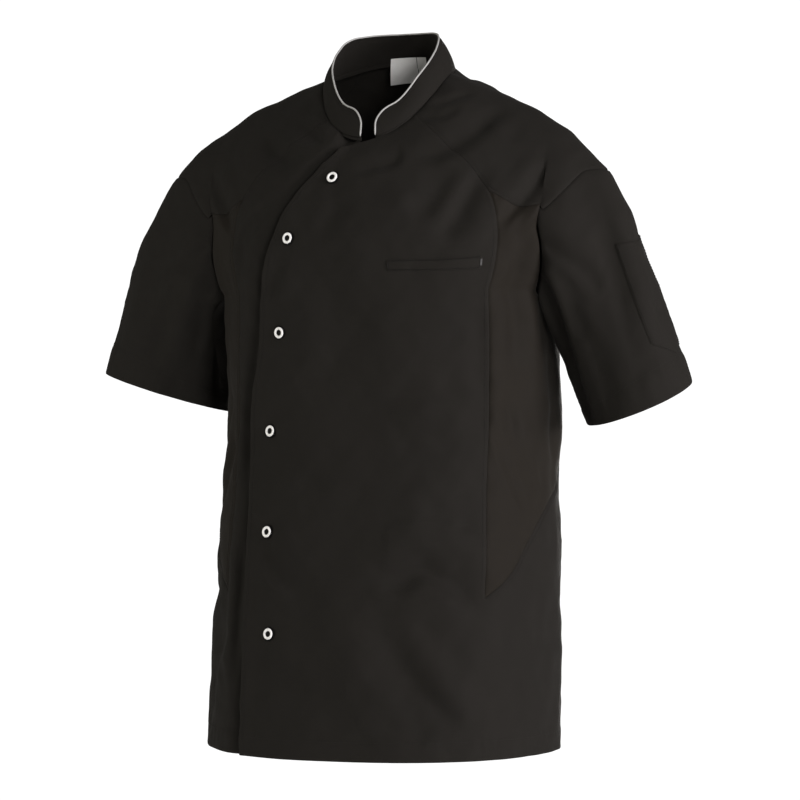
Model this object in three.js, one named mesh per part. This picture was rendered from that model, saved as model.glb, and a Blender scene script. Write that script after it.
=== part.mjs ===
// Chef jacket with short sleeves, worn form, standing open at neck, hem and cuffs.
// Millimetres, +Z up. The wearer faces -Y and the wearer's left is +X.
// The origin lies midway between the two side neck points, where the shoulders carry the jacket.
import * as THREE from 'three';

// Driving dimensions
const HEM_Z = -733;           // bottom hem
const ARMPIT_Z = -240;        // level where the body section starts to turn into the shoulders
const CLOTH = 2;              // wall of a cloth panel
const COLLAR_WALL = 2.4;      // two layers of cloth and an interlining
const SEAM_INSET = 0.22;      // each panel keeps this distance from its seam line
const LAYER_DROP = 3.4;       // the underlapping front lies this far under the overlapping one
const TRIM_GAP = 0.35;        // between a panel and what is sewn on it
const SLEEVE_TRIM_GAP = 1.15;  // the same on the sleeve, whose faces are wider
const NECK_HALF_WIDTH = 73;
const COLLAR_CORNER = 21;     // radius of the collar's rounded front corners
const COLLAR_SEAT = 0.45;     // collar base above the neck edge
const PIPING_RADIUS = 1.2;
const SNAP_RADIUS = 6;
const SNAP_HEIGHT = 2.2;
const WELT = { angle: 27, level: -213, length: 100, width: 14, slant: -2 };
const LABEL = { from: -20.5, to: 8.5, drop: 31 };  // distances from the back centre in mm
const SIZE_TAB = { from: 9.5, to: 21.5, drop: 20 };
const TRIM_WALL = 1;          // labels, the welt and the sleeve pocket

// Body sections, from the hem up to the armpit
const BODY_SECTIONS = {
  columns: ['z', 'halfWidth', 'frontDepth', 'backDepth', 'centreY', 'power'],
  rows: [
    [-733, 196, 148, 118, -2, 0.86],
    [-600, 193, 144, 118, 6, 0.86],
    [-450, 188, 138, 122, 21, 0.86],
    [-330, 186, 132, 128, 27, 0.86],
    [-240, 187, 124, 130, 18, 0.88],
  ],
};

// The neck edge, which the collar stands on
const NECK = {
  frontY: -62, sideY: 17, backY: 78, frontZ: -74, sideZ: 2, backZ: 24, frontBend: 1.35, backBend: 1.2,
};
const NECK_ROUNDNESS = 0.93;
// The collar's upper edge
const RIM = { halfWidth: 58, frontY: -52, sideY: 1, backY: 61 };
const RIM_HEIGHTS = {
  columns: ['angle', 'z'],
  rows: [[0, -44], [30, -35], [60, -4], [90, 20], [120, 35], [150, 47], [180, 52]],
};

// Handles of the curves that carry a body section up to the neck
const SHOULDER_OUTER = { x: 300, y: 6, z: -64, swing: 52 };
const SHOULDER_INNER = { x: 93, y: -8, z: -48, swing: 10 };
const CHEST_RISE = 75;
const BACK_RISE = 95;
const CHEST_FALL = { out: 50, y: -38, z: -52 };  // from the neck edge down the chest
const BACK_FALL = { out: 50, y: 44, z: -40 };    // from the neck edge down the back
const SHOULDER_FOCUS = 5;                        // how narrowly the shoulder handles act

// The armhole on the body surface: turn around the sleeve, body angle, body level
const ARMHOLE = {
  columns: ['turn', 'angle', 'level'],
  rows: [
    [0, 91, -102], [40, 74, -115], [81, 62, -172], [110, 62.5, -202], [145, 73, -237],
    [180, 92, -258], [215, 113, -237], [250, 121, -206], [279, 118, -172], [320, 108, -115],
  ],
};

// The open end of each sleeve; as worn, the wearer's left one hangs a little lower and turns in
const CUFFS = {
  left: { x: 283, y: 20, z: -361, long: 68, short: 46, twist: 35, riseOut: 0.4, riseBack: 0.3 },
  right: { x: 272, y: 20, z: -349, long: 72, short: 48, twist: 25, riseOut: 0.32, riseBack: -0.03 },
};
const SLEEVE_AXIS = new THREE.Vector3(0.356, 0.03, -0.934).normalize();
// Lengths of the sleeve's handles, by the cosine of the turn and its square
const SLEEVE_HANDLES = { leave: [58, 44.5, 14.5], arrive: [78, 38, 10] };

// Seam lines on the body surface, as body angle and level, on the wearer's left
const FRONT_SEAM_ANGLE = 48;
const SIDE_SEAM_ANGLE = 102;
const BACK_SEAM_ANGLE = 132;
const YOKE_ANGLE = 43;           // where the yoke's front seam meets the neck edge
const INSERT_MIDDLE_LEVEL = -340;
const INSERT_BACK_LEVEL = -385;
const INSERT_TIP_LEVEL = -565;
const SEAMS = {
  yokeInner: [[YOKE_ANGLE, 0], [46, -50], [48, -95], [49, -138]],
  yokeOuter: [[49, -138], [53, -156], [57, -167], [62, -172]],
  insertUpper: [[49, -138], [FRONT_SEAM_ANGLE, -220], [FRONT_SEAM_ANGLE, INSERT_MIDDLE_LEVEL]],
  insertLower: [[FRONT_SEAM_ANGLE, INSERT_MIDDLE_LEVEL], [FRONT_SEAM_ANGLE, INSERT_TIP_LEVEL]],
  insertHem: [[FRONT_SEAM_ANGLE, INSERT_TIP_LEVEL], [59, -543], [70.5, -505], [81, -475], [91.5, -455],
    [SIDE_SEAM_ANGLE, -434], [112, -415], [122, -398], [BACK_SEAM_ANGLE, INSERT_BACK_LEVEL]],
  underFront: [[FRONT_SEAM_ANGLE, INSERT_MIDDLE_LEVEL], [66, -318], [80, -284], [92, -258]],
};
const SIDE_POINT = 5;            // row of insertHem that lies on the side seam

// The closing edge of each front, as body angle and level
const OVERLAP_TOP = [[-14.5, -25], [-9, -16], [-2, -9], [6, -4], [14, 0], [28, 0], [YOKE_ANGLE, 0]];
const OVERLAP_EDGE = [
  [-14.5, -25], [-20.5, -59], [-26.5, -118], [-29.5, -186], [-32, -245], [-33.5, -310], [-36.5, -365],
  [-36.5, -430], [-35.5, -489], [-33.5, INSERT_TIP_LEVEL], [-33, -650], [-32.5, HEM_Z],
];
const UNDERLAP_TOP = [[-6, -14], [2, -5], [9, 0], [25, 0], [YOKE_ANGLE, 0]];
const UNDERLAP_EDGE = [
  [-6, -14], [-1, -80], [3, -180], [6, -300], [8, -450], [8, INSERT_TIP_LEVEL], [8, HEM_Z],
];
// The underlapping front drops over these angles beyond the closing edge
const LAYER_RAMP = { from: 4, to: 10 };

// Largest folds of the body: body angle and level of both ends, half width and depth in mm
const BODY_FOLDS = {
  columns: ['angleA', 'levelA', 'angleB', 'levelB', 'halfWidth', 'depth'],
  rows: [
    [22, -78, 58, -70, 13, -4.5],
    [34, -168, 44, -104, 12, -4],
    [52, -158, 66, -128, 10, -3.5],
    [20, -548, 47, -570, 17, -5],
    [24, -618, 50, -716, 20, -6],
    [-22, -520, -8, -572, 14, -3.5],
    [48, -330, 62, -470, 12, -3.5],
    [14, -340, 42, -330, 15, -2.5],
    [-40, -280, -44, -560, 11, -3],
    [150, -430, 190, -470, 18, -4.5],
    [205, -520, 168, -560, 17, -4],
    [215, -300, 232, -420, 15, -4],
    [140, -300, 128, -420, 14, -3.5],
    [176, -90, 150, -150, 15, -3.5],
    [186, -95, 212, -160, 15, -3.5],
    [-80, -520, -96, -620, 16, -4],
  ],
};
// Largest folds of a sleeve: turn and share of its length at both ends, half width and depth
const SLEEVE_FOLDS = {
  columns: ['turnA', 'shareA', 'turnB', 'shareB', 'halfWidth', 'depth'],
  rows: [
    [100, 0.1, 60, 0.55, 14, -4],
    [150, 0.2, 120, 0.8, 12, -3.5],
    [262, 0.1, 300, 0.6, 14, -4],
    [210, 0.25, 240, 0.85, 12, -3.5],
  ],
};

// Snap centres on the overlapping front: body angle and level
const SNAPS = {
  columns: ['angle', 'level'],
  rows: [[-11.5, -74], [-22.5, -174], [-24, -285], [-27, -391], [-25.5, -499], [-22, -606]],
};

// The sleeve pocket in mm: its top lies at a column and row of the sleeve's faces, its point leans aside
const SLEEVE_POCKET = {
  column: 7.35, row: 2.85, halfWidth: 24, length: 128, pointRise: 20, tipHalf: 2, lean: -18,
};

const DARK_TWILL = { color: 0x26241f, roughness: 0.86, metalness: 0 };
const STRETCH_CLOTH = { color: 0x302a24, roughness: 0.8, metalness: 0 };
const LIGHT_PIPING = { color: 0xb9bbbd, roughness: 0.6, metalness: 0 };
const LIGHT_SNAP = { color: 0xe6e6e4, roughness: 0.35, metalness: 0 };
const LABEL_CLOTH = { color: 0xf0f0ee, roughness: 0.7, metalness: 0 };

const radians = THREE.MathUtils.degToRad;
const { clamp, lerp, smoothstep } = THREE.MathUtils;
const steps = (count) => Array.from({ length: count + 1 }, (_, i) => i / count);
const power = (value, exponent) => Math.sign(value) * Math.abs(value) ** exponent;

// Smooth curve through a table's rows, by the first column; a period makes it closed
function along(rows, at, period = 0) {
  const first = rows[0][0];
  const x = period ? first + ((((at - first) % period) + period) % period)
    : clamp(at, first, rows[rows.length - 1][0]);
  const row = (i) => {
    if (!period) {
      return rows[clamp(i, 0, rows.length - 1)];
    }
    const lap = Math.floor(i / rows.length);
    const source = rows[i - lap * rows.length];
    return [source[0] + lap * period, ...source.slice(1)];
  };
  let i = 0;
  while (i < rows.length - (period ? 1 : 2) && x >= row(i + 1)[0]) {
    i += 1;
  }
  const [before, start, end, after] = [row(i - 1), row(i), row(i + 1), row(i + 2)];
  const span = end[0] - start[0];
  const t = (x - start[0]) / span;
  return start.slice(1).map((value, c) => {
    const column = c + 1;
    const slopeA = (end[column] - before[column]) / (end[0] - before[0]) * span;
    const slopeB = (after[column] - start[column]) / (after[0] - start[0]) * span;
    return (2 * t ** 3 - 3 * t ** 2 + 1) * value + (t ** 3 - 2 * t ** 2 + t) * slopeA
      + (3 * t ** 2 - 2 * t ** 3) * end[column] + (t ** 3 - t ** 2) * slopeB;
  });
}

// Even points along a line of angle and level pairs; one degree counts as about 3 mm
const DEGREE_MM = 3;
function resample(line, count) {
  const lengths = [0];
  for (let i = 1; i < line.length; i += 1) {
    const across = (line[i][0] - line[i - 1][0]) * DEGREE_MM;
    lengths.push(lengths[i - 1] + Math.hypot(across, line[i][1] - line[i - 1][1]));
  }
  const table = line.map(([angle, level], i) => [lengths[i], angle, level]);
  return steps(count).map((f) => along(table, f * lengths[lengths.length - 1]));
}

function bodyRing(angle, z) {
  const [half, front, back, centre, exponent] = along(BODY_SECTIONS.rows, z);
  const s = Math.sin(radians(angle));
  const c = Math.cos(radians(angle));
  const depth = c > 0 ? front : back;
  return new THREE.Vector3(half * power(s, exponent), centre - depth * power(c, exponent), z);
}

function neckEdge(angle) {
  const s = Math.sin(radians(angle));
  const c = Math.cos(radians(angle));
  const [endY, endZ, bend] = c > 0 ? [NECK.frontY, NECK.frontZ, NECK.frontBend]
    : [NECK.backY, NECK.backZ, NECK.backBend];
  return new THREE.Vector3(
    NECK_HALF_WIDTH * power(s, NECK_ROUNDNESS),
    lerp(NECK.sideY, endY, Math.abs(c) ** NECK_ROUNDNESS),
    lerp(NECK.sideZ, endZ, Math.abs(c) ** bend),
  );
}

function bezier(p0, p1, p2, p3, t) {
  const u = 1 - t;
  return p0.clone().multiplyScalar(u ** 3)
    .addScaledVector(p1, 3 * t * u ** 2)
    .addScaledVector(p2, 3 * t ** 2 * u)
    .addScaledVector(p3, t ** 3);
}

// The smooth body surface: body angle from the front centre, level from the hem to 0 at the neck
function bodySurface(angle, level) {
  if (level <= ARMPIT_Z) {
    return bodyRing(angle, level);
  }
  const s = Math.sin(radians(angle));
  const c = Math.cos(radians(angle));
  const sideways = Math.abs(s) ** SHOULDER_FOCUS;
  const start = bodyRing(angle, ARMPIT_Z);
  const rise = start.clone().sub(bodyRing(angle, ARMPIT_Z - 1));
  const outer = new THREE.Vector3(
    Math.sign(s) * SHOULDER_OUTER.x, SHOULDER_OUTER.y - SHOULDER_OUTER.swing * c, SHOULDER_OUTER.z);
  const p1 = start.clone().addScaledVector(rise, c > 0 ? CHEST_RISE : BACK_RISE).lerp(outer, sideways);
  const end = neckEdge(angle);
  const fall = c > 0 ? CHEST_FALL : BACK_FALL;
  const slope = new THREE.Vector3(fall.out * s, fall.y, fall.z);
  const inner = new THREE.Vector3(
    Math.sign(s) * SHOULDER_INNER.x, SHOULDER_INNER.y - SHOULDER_INNER.swing * c, SHOULDER_INNER.z);
  const p2 = end.clone().add(slope).lerp(end.clone().add(inner), sideways);
  return bezier(start, p1, p2, end, 1 - level / ARMPIT_Z);
}

// The smooth sleeve surface: side +1 or -1, turn from the top over the front, share of its length
function sleeveSurface(side, turn, share) {
  const [angle, level] = along(ARMHOLE.rows, turn, 360);
  const s = Math.sin(radians(turn));
  const c = Math.cos(radians(turn));
  const p0 = bodySurface(angle, level);
  const onward = bodySurface(...along(ARMHOLE.rows, turn + 1, 360)).sub(p0);
  const smooth = normalOf(bodySurface, angle, level, 0.5, 0.5).cross(onward).normalize();
  const hanging = new THREE.Vector3(0.52 + 0.35 * c, -0.15 * s, -0.745 + 0.255 * c).normalize();
  const leave = smooth.lerp(hanging, 0.5 + 0.5 * smoothstep(1 - c, 0.2, 0.8)).normalize();
  const cuff = side > 0 ? CUFFS.left : CUFFS.right;
  const twist = radians(cuff.twist);
  const dx = cuff.long * c * Math.cos(twist) - cuff.short * s * Math.sin(twist);
  const dy = -cuff.long * c * Math.sin(twist) - cuff.short * s * Math.cos(twist);
  const p3 = new THREE.Vector3(cuff.x + dx, cuff.y + dy, cuff.z + cuff.riseOut * dx + cuff.riseBack * dy);
  const reach = ([even, linear, square]) => even + linear * c + square * c ** 2;
  const p1 = p0.clone().addScaledVector(leave, reach(SLEEVE_HANDLES.leave));
  const p2 = p3.clone().addScaledVector(SLEEVE_AXIS, -reach(SLEEVE_HANDLES.arrive));
  const point = bezier(p0, p1, p2, p3, share);
  point.x *= side;
  return point;
}

function normalOf(surface, u, v, du, dv) {
  const across = surface(u + du, v).sub(surface(u - du, v));
  const up = surface(u, v + dv).sub(surface(u, v - dv));
  return across.cross(up).normalize();
}

// Depth of the folds at a place, each a soft trough that fades out at its ends
function foldDepth(rows, u, v, scaleU, scaleV, periodU) {
  return rows.reduce((sum, [u0, v0, u1, v1, halfWidth, depth]) => {
    const wrap = Math.round((u - (u0 + u1) / 2) / periodU) * periodU;
    const ax = (u - wrap - u0) * scaleU;
    const ay = (v - v0) * scaleV;
    const bx = (u1 - u0) * scaleU;
    const by = (v1 - v0) * scaleV;
    const length = Math.hypot(bx, by);
    const t = (ax * bx + ay * by) / length ** 2;
    const aside = (ax * by - ay * bx) / length;
    const fade = smoothstep(t, -0.15, 0.25) * (1 - smoothstep(t, 0.75, 1.15));
    return sum + depth * fade * Math.exp(-((aside / halfWidth) ** 2));
  }, 0);
}

// A place on the cloth: the outer point moved out by lift, and the inner point a wall further in
function bodyPlace(angle, level, lift = 0, wall = CLOTH) {
  const normal = normalOf(bodySurface, angle, Math.min(level, -0.5), 0.5, 0.5);
  const depth = foldDepth(BODY_FOLDS.rows, angle, level, DEGREE_MM, 1, 360);
  const outer = bodySurface(angle, level).addScaledVector(normal, lift + depth);
  return { outer, inner: outer.clone().addScaledVector(normal, -wall), normal };
}

const TURN_MM = 1.1;
const SLEEVE_LENGTH = 240;
function sleevePlace(side, turn, share, lift = 0, wall = CLOTH) {
  const surface = (u, v) => sleeveSurface(side, u, v);
  const normal = normalOf(surface, turn, clamp(share, 0.01, 0.99), 0.5, 0.005).multiplyScalar(side);
  const depth = foldDepth(SLEEVE_FOLDS.rows, turn, share, TURN_MM, SLEEVE_LENGTH, 360);
  const outer = surface(turn, share).addScaledVector(normal, lift + depth);
  return { outer, inner: outer.clone().addScaledVector(normal, -wall), normal };
}

// A sheet of cloth made of four-sided faces, whose patches share the points where they meet
class Sheet {
  constructor() {
    this.places = [];
    this.faces = [];
    this.known = new Map();
  }

  add(place) {
    const key = place.outer.toArray().map((value) => Math.round(value * 50)).join();
    if (!this.known.has(key)) {
      this.known.set(key, this.places.length);
      this.places.push(place);
    }
    return this.known.get(key);
  }

  addGrid(rows) {
    const numbers = rows.map((row) => row.map((place) => this.add(place)));
    for (let j = 0; j + 1 < numbers.length; j += 1) {
      for (let i = 0; i + 1 < numbers[j].length; i += 1) {
        const [a, b, c, d] = [numbers[j][i], numbers[j][i + 1], numbers[j + 1][i + 1], numbers[j + 1][i]];
        this.faces.push([a, b, c], [a, c, d]);
      }
    }
    return this;
  }

  // Outer skin, inner skin and the edge walls between them, as one closed body
  close() {
    const count = this.places.length;
    const faces = this.faces.filter(([a, b, c]) => a !== b && b !== c && c !== a);
    const edges = new Map();
    faces.forEach(([a, b, c]) => {
      [[a, b], [b, c], [c, a]].forEach(([p, q]) => edges.set(`${p},${q}`, [p, q]));
    });
    const index = faces.flatMap(([a, b, c]) => [a, b, c, count + c, count + b, count + a]);
    edges.forEach(([p, q]) => {
      if (!edges.has(`${q},${p}`)) {
        index.push(q, p, count + p, q, count + p, count + q);
      }
    });
    const points = [...this.places.map((p) => p.outer), ...this.places.map((p) => p.inner)];
    return solidFrom(points, index);
  }
}

function signedVolume(points, index) {
  let six = 0;
  for (let i = 0; i < index.length; i += 3) {
    const [a, b, c] = [points[index[i]], points[index[i + 1]], points[index[i + 2]]];
    six += a.dot(b.clone().cross(c));
  }
  return six / 6;
}

function solidFrom(points, index) {
  const outward = signedVolume(points, index) > 0 ? index : [...index].reverse();
  const geometry = new THREE.BufferGeometry();
  geometry.setAttribute('position', new THREE.Float32BufferAttribute(points.flatMap((p) => p.toArray()), 3));
  geometry.setIndex(outward);
  geometry.computeVertexNormals();
  return geometry;
}

// Fills the space between four lines of angle and level pairs; bottom and top run alike, so do the sides
function fill(bottom, top, left, right) {
  const across = bottom.length - 1;
  const up = left.length - 1;
  return left.map((leftPair, j) => bottom.map((bottomPair, i) => {
    const s = i / across;
    const t = j / up;
    return [0, 1].map((k) => (1 - t) * bottomPair[k] + t * top[i][k] + (1 - s) * leftPair[k] + s * right[j][k]
      - (1 - s) * (1 - t) * bottom[0][k] - s * (1 - t) * bottom[across][k]
      - (1 - s) * t * top[0][k] - s * t * top[across][k]);
  }));
}

// Draws the named sides of a grid of pairs in from their seam lines
function inset(grid, sides, toPoint) {
  const pull = (edge, next) => {
    const gap = toPoint(edge).distanceTo(toPoint(next));
    const f = Math.min(SEAM_INSET / gap, 0.3);
    return [lerp(edge[0], next[0], f), lerp(edge[1], next[1], f)];
  };
  const last = grid.length - 1;
  const end = grid[0].length - 1;
  const drawn = grid.map((row) => [...row]);
  if (sides.includes('left')) {
    drawn.forEach((row) => { row[0] = pull(row[0], row[1]); });
  }
  if (sides.includes('right')) {
    drawn.forEach((row) => { row[end] = pull(row[end], row[end - 1]); });
  }
  if (sides.includes('bottom')) {
    drawn[0] = drawn[0].map((pair, i) => pull(pair, drawn[1][i]));
  }
  if (sides.includes('top')) {
    drawn[last] = drawn[last].map((pair, i) => pull(pair, drawn[last - 1][i]));
  }
  return drawn;
}

const onBody = (side, liftAt = () => 0) => ([angle, level]) => (
  bodyPlace(side * angle, level, liftAt(angle, level)));
const bodyPoint = ([angle, level]) => bodySurface(angle, level);
const mirrorBack = (line) => line.map(([angle, level]) => [180 - angle, level]);
const flip = (line) => [...line].reverse();

// Faces across and along the panels
const FRONT_COLUMNS = 10;
const BACK_COLUMNS = 10;
const HEM_ROWS = 7;
const YOKE_COLUMNS = 14;
const ARMHOLE_STEPS = 9;

// Shared seam lines, each with the points that both of its neighbours use
const YOKE_INNER = resample(SEAMS.yokeInner, 7);
const YOKE_OUTER = resample(SEAMS.yokeOuter, 4);
const INSERT_UPPER = resample(SEAMS.insertUpper, 9);
const INSERT_LOWER = resample(SEAMS.insertLower, 6);
const INSERT_HEM = SEAMS.insertHem;
const UNDER_FRONT = resample(SEAMS.underFront, 4);
const UNDER_BACK = mirrorBack(UNDER_FRONT);
const BACK_LOWER = straight(
  [BACK_SEAM_ANGLE, INSERT_MIDDLE_LEVEL], [BACK_SEAM_ANGLE, INSERT_BACK_LEVEL], INSERT_LOWER.length - 1);
const armholeLine = (from, to, count) => steps(count).map((f) => along(ARMHOLE.rows, lerp(from, to, f), 360));
const YOKE_END = 81;  // turn of the armhole where the yoke's front seam ends

function straight(from, to, count) {
  return steps(count).map((f) => [lerp(from[0], to[0], f), lerp(from[1], to[1], f)]);
}

// One front: the closing edge and top line differ between the two
function front(side, topLine, edgeLine, liftAt) {
  const sheet = new Sheet();
  const place = onBody(side, liftAt);
  const right = flip([...YOKE_INNER, ...INSERT_UPPER.slice(1), ...INSERT_LOWER.slice(1)]);
  const split = edgeLine.findIndex(([, level]) => level <= INSERT_TIP_LEVEL);
  const upperEdge = flip(resample(edgeLine.slice(0, split + 1), right.length - 1));
  const waist = straight(upperEdge[0], right[0], FRONT_COLUMNS);
  const upper = fill(waist, resample(topLine, FRONT_COLUMNS), upperEdge, right);
  const lowerEdge = flip(resample(edgeLine.slice(split), HEM_ROWS));
  const hem = straight(lowerEdge[0], [FRONT_SEAM_ANGLE, HEM_Z], FRONT_COLUMNS);
  const middle = straight([FRONT_SEAM_ANGLE, HEM_Z], [FRONT_SEAM_ANGLE, INSERT_TIP_LEVEL], HEM_ROWS);
  const lower = fill(hem, waist, lowerEdge, middle);
  const round = INSERT_HEM.slice(0, SIDE_POINT + 1);
  const sideSeam = straight([SIDE_SEAM_ANGLE, HEM_Z], round[SIDE_POINT], HEM_ROWS);
  const sideHem = straight([FRONT_SEAM_ANGLE, HEM_Z], [SIDE_SEAM_ANGLE, HEM_Z], SIDE_POINT);
  const aside = fill(sideHem, round, middle, sideSeam);
  const drawnUpper = inset(upper, ['right'], bodyPoint);
  const drawnAside = inset(aside, ['right', 'top'], bodyPoint);
  drawnAside[HEM_ROWS][0] = drawnUpper[0][FRONT_COLUMNS];
  const drawnLower = lower.map((row) => [...row]);
  drawnLower[HEM_ROWS] = [...drawnUpper[0]];
  [drawnUpper, drawnLower, drawnAside].forEach((grid) => sheet.addGrid(grid.map((row) => row.map(place))));
  return sheet.close();
}

function sideInsert(side) {
  const sheet = new Sheet();
  const place = onBody(side);
  const underFront = fill(
    UNDER_FRONT, YOKE_OUTER, flip(INSERT_UPPER), armholeLine(180, YOKE_END, ARMHOLE_STEPS));
  const underBack = fill(
    flip(UNDER_BACK), flip(mirrorBack(YOKE_OUTER)), armholeLine(180, 360 - YOKE_END, ARMHOLE_STEPS),
    flip(mirrorBack(INSERT_UPPER)));
  const below = fill(
    INSERT_HEM, [...UNDER_FRONT, ...flip(UNDER_BACK).slice(1)], flip(INSERT_LOWER), flip(BACK_LOWER));
  const drawnFront = inset(underFront, ['left', 'right', 'top'], bodyPoint);
  const drawnBack = inset(underBack, ['left', 'right', 'top'], bodyPoint);
  const drawnBelow = inset(below, ['left', 'right', 'bottom'], bodyPoint);
  drawnBack[0][0] = drawnFront[0][UNDER_FRONT.length - 1];
  drawnBelow[drawnBelow.length - 1] = [...drawnFront[0], ...drawnBack[0].slice(1)];
  [drawnFront, drawnBack, drawnBelow].forEach((grid) => sheet.addGrid(grid.map((row) => row.map(place))));
  return sheet.close();
}

function back() {
  const sheet = new Sheet();
  const place = onBody(1);
  const across = (line) => line.map(([angle, level]) => [360 - angle, level]);
  const leftUpper = flip([
    ...mirrorBack(YOKE_INNER), ...mirrorBack(INSERT_UPPER).slice(1), ...BACK_LOWER.slice(1)]);
  const rightUpper = across(leftUpper);
  const spanAt = (angle, level) => straight([angle, level], [360 - angle, level], BACK_COLUMNS);
  const neck = spanAt(180 - YOKE_ANGLE, 0);
  const waist = spanAt(BACK_SEAM_ANGLE, INSERT_BACK_LEVEL);
  const hem = spanAt(BACK_SEAM_ANGLE, HEM_Z);
  const rise = straight([BACK_SEAM_ANGLE, HEM_Z], [BACK_SEAM_ANGLE, INSERT_BACK_LEVEL], HEM_ROWS);
  const upper = inset(fill(waist, neck, leftUpper, rightUpper), ['left', 'right'], bodyPoint);
  const lower = fill(hem, waist, rise, across(rise));
  lower[HEM_ROWS] = [...upper[0]];
  const round = INSERT_HEM.slice(SIDE_POINT);
  const sideHem = straight([SIDE_SEAM_ANGLE, HEM_Z], [BACK_SEAM_ANGLE, HEM_Z], round.length - 1);
  const sideSeam = straight([SIDE_SEAM_ANGLE, HEM_Z], round[0], HEM_ROWS);
  const aside = inset(fill(sideHem, round, sideSeam, rise), ['left', 'top'], bodyPoint);
  aside[HEM_ROWS][round.length - 1] = upper[0][0];
  const other = aside.map((row) => flip(across(row)));
  [upper, lower, aside, other].forEach((grid) => sheet.addGrid(grid.map((row) => row.map(place))));
  return sheet.close();
}

// How far the yoke reaches down the sleeve, as a share of the sleeve's length
const CAP = { least: 0.035, more: 0.215, bend: 0.9 };
function capShare(turn) {
  const bent = turn > 180 ? turn - 360 : turn;
  return CAP.least + CAP.more * Math.max(Math.cos(radians(bent * 90 / YOKE_END)), 0) ** CAP.bend;
}

const CAP_END_TURN = 0.1;        // the cap stops this far short of the yoke's end
const STEP_TURN = 1.5;           // turn over which the sleeve's top edge steps up to the armhole
const SLEEVE_GAP_SHARE = 0.0023; // between the sleeve and what it is sewn to
const SLEEVE_ROWS = 8;
const UNDERARM_COLUMNS = 18;

function yoke(side) {
  const sheet = new Sheet();
  const frontSeam = [...YOKE_INNER, ...YOKE_OUTER.slice(1)];
  const backSeam = mirrorBack(frontSeam);
  const neck = straight([YOKE_ANGLE, 0], [180 - YOKE_ANGLE, 0], YOKE_COLUMNS);
  const arm = armholeLine(YOKE_END, -YOKE_END, YOKE_COLUMNS);
  const grid = inset(fill(neck, arm, frontSeam, backSeam), ['left', 'right', 'bottom'], bodyPoint);
  sheet.addGrid(grid.map((row) => row.map(onBody(side))));
  const edge = grid[grid.length - 1].map(onBody(side));
  const capEnd = YOKE_END - CAP_END_TURN;
  const cap = steps(3).slice(1).map((down) => steps(YOKE_COLUMNS).map((f) => {
    const turn = lerp(capEnd, -capEnd, f);
    return sleevePlace(side, turn, capShare(turn) * down);
  }));
  sheet.addGrid([edge, ...cap]);
  return sheet.close();
}

function sleeveRows(side) {
  const otherEnd = 360 - YOKE_END;
  const capTurns = steps(YOKE_COLUMNS).map((f) => lerp(-YOKE_END, YOKE_END, f));
  const underTurns = steps(UNDERARM_COLUMNS).map((f) => lerp(YOKE_END, otherEnd, f)).slice(1, -1);
  const turns = [...capTurns, YOKE_END + STEP_TURN, ...underTurns, otherEnd - STEP_TURN, otherEnd];
  return steps(SLEEVE_ROWS).map((f) => turns.map((turn) => {
    const capped = turn <= YOKE_END || turn >= otherEnd;
    const start = SLEEVE_GAP_SHARE + (capped ? capShare(turn) : 0);
    return sleevePlace(side, turn, lerp(start, 1, f));
  }));
}

const sleeve = (side) => new Sheet().addGrid(sleeveRows(side)).close();

// A place lifted off the faces of a grid, by column and row with fractions
function onFaces(rows, column, row, lift, wall) {
  const [i, j] = [Math.floor(column), Math.floor(row)];
  const [s, t] = [column - i, row - j];
  const [a, b, c, d] = [rows[j][i], rows[j][i + 1], rows[j + 1][i + 1], rows[j + 1][i]];
  const weights = s >= t ? [[a, 1 - s], [b, s - t], [c, t]] : [[a, 1 - t], [c, s], [d, t - s]];
  const sum = (key) => weights.reduce(
    (total, [place, weight]) => total.addScaledVector(place[key], weight), new THREE.Vector3());
  const normal = sum('normal').normalize();
  const outer = sum('outer').addScaledVector(normal, lift);
  return { outer, inner: outer.clone().addScaledVector(normal, -wall), normal };
}

// The collar: angle around the neck, from the front edge on the wearer's left round the back
const COLLAR_START = 8.5;
const COLLAR_END = 357;
const COLLAR_BOW = 2.5;          // how far the collar bows out between base and edge
function rimEdge(angle) {
  const s = Math.sin(radians(angle));
  const c = Math.cos(radians(angle));
  const fromFront = angle > 180 ? 360 - angle : angle;
  return new THREE.Vector3(
    RIM.halfWidth * power(s, NECK_ROUNDNESS),
    lerp(RIM.sideY, c > 0 ? RIM.frontY : RIM.backY, Math.abs(c) ** NECK_ROUNDNESS),
    along(RIM_HEIGHTS.rows, fromFront)[0],
  );
}

function collarSurface(angle, height) {
  const base = neckEdge(angle);
  base.z += COLLAR_SEAT;
  const rim = rimEdge(angle);
  const out = new THREE.Vector3(Math.sin(radians(angle)), -Math.cos(radians(angle)), 0);
  return base.lerp(rim, height).addScaledVector(out, COLLAR_BOW * Math.sin(Math.PI * height));
}

function collarPlace(angle, height, lift = 0) {
  const normal = normalOf(collarSurface, angle, clamp(height, 0.02, 0.98), 0.5, 0.01);
  const outer = collarSurface(angle, height).addScaledVector(normal, lift);
  return { outer, inner: outer.clone().addScaledVector(normal, -COLLAR_WALL), normal };
}

// Height of the collar's edge, as a share, at a distance in mm from the nearer front end
const COLLAR_FRONT_HEIGHT = 33;
const COLLAR_DEGREE_MM = 1.25;
function collarTop(angle) {
  const fromEnd = Math.min(angle - COLLAR_START, COLLAR_END - angle) * COLLAR_DEGREE_MM;
  const d = clamp(COLLAR_CORNER - fromEnd, 0, COLLAR_CORNER);
  return 1 - (COLLAR_CORNER - Math.sqrt(COLLAR_CORNER ** 2 - d ** 2)) / COLLAR_FRONT_HEIGHT;
}

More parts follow.
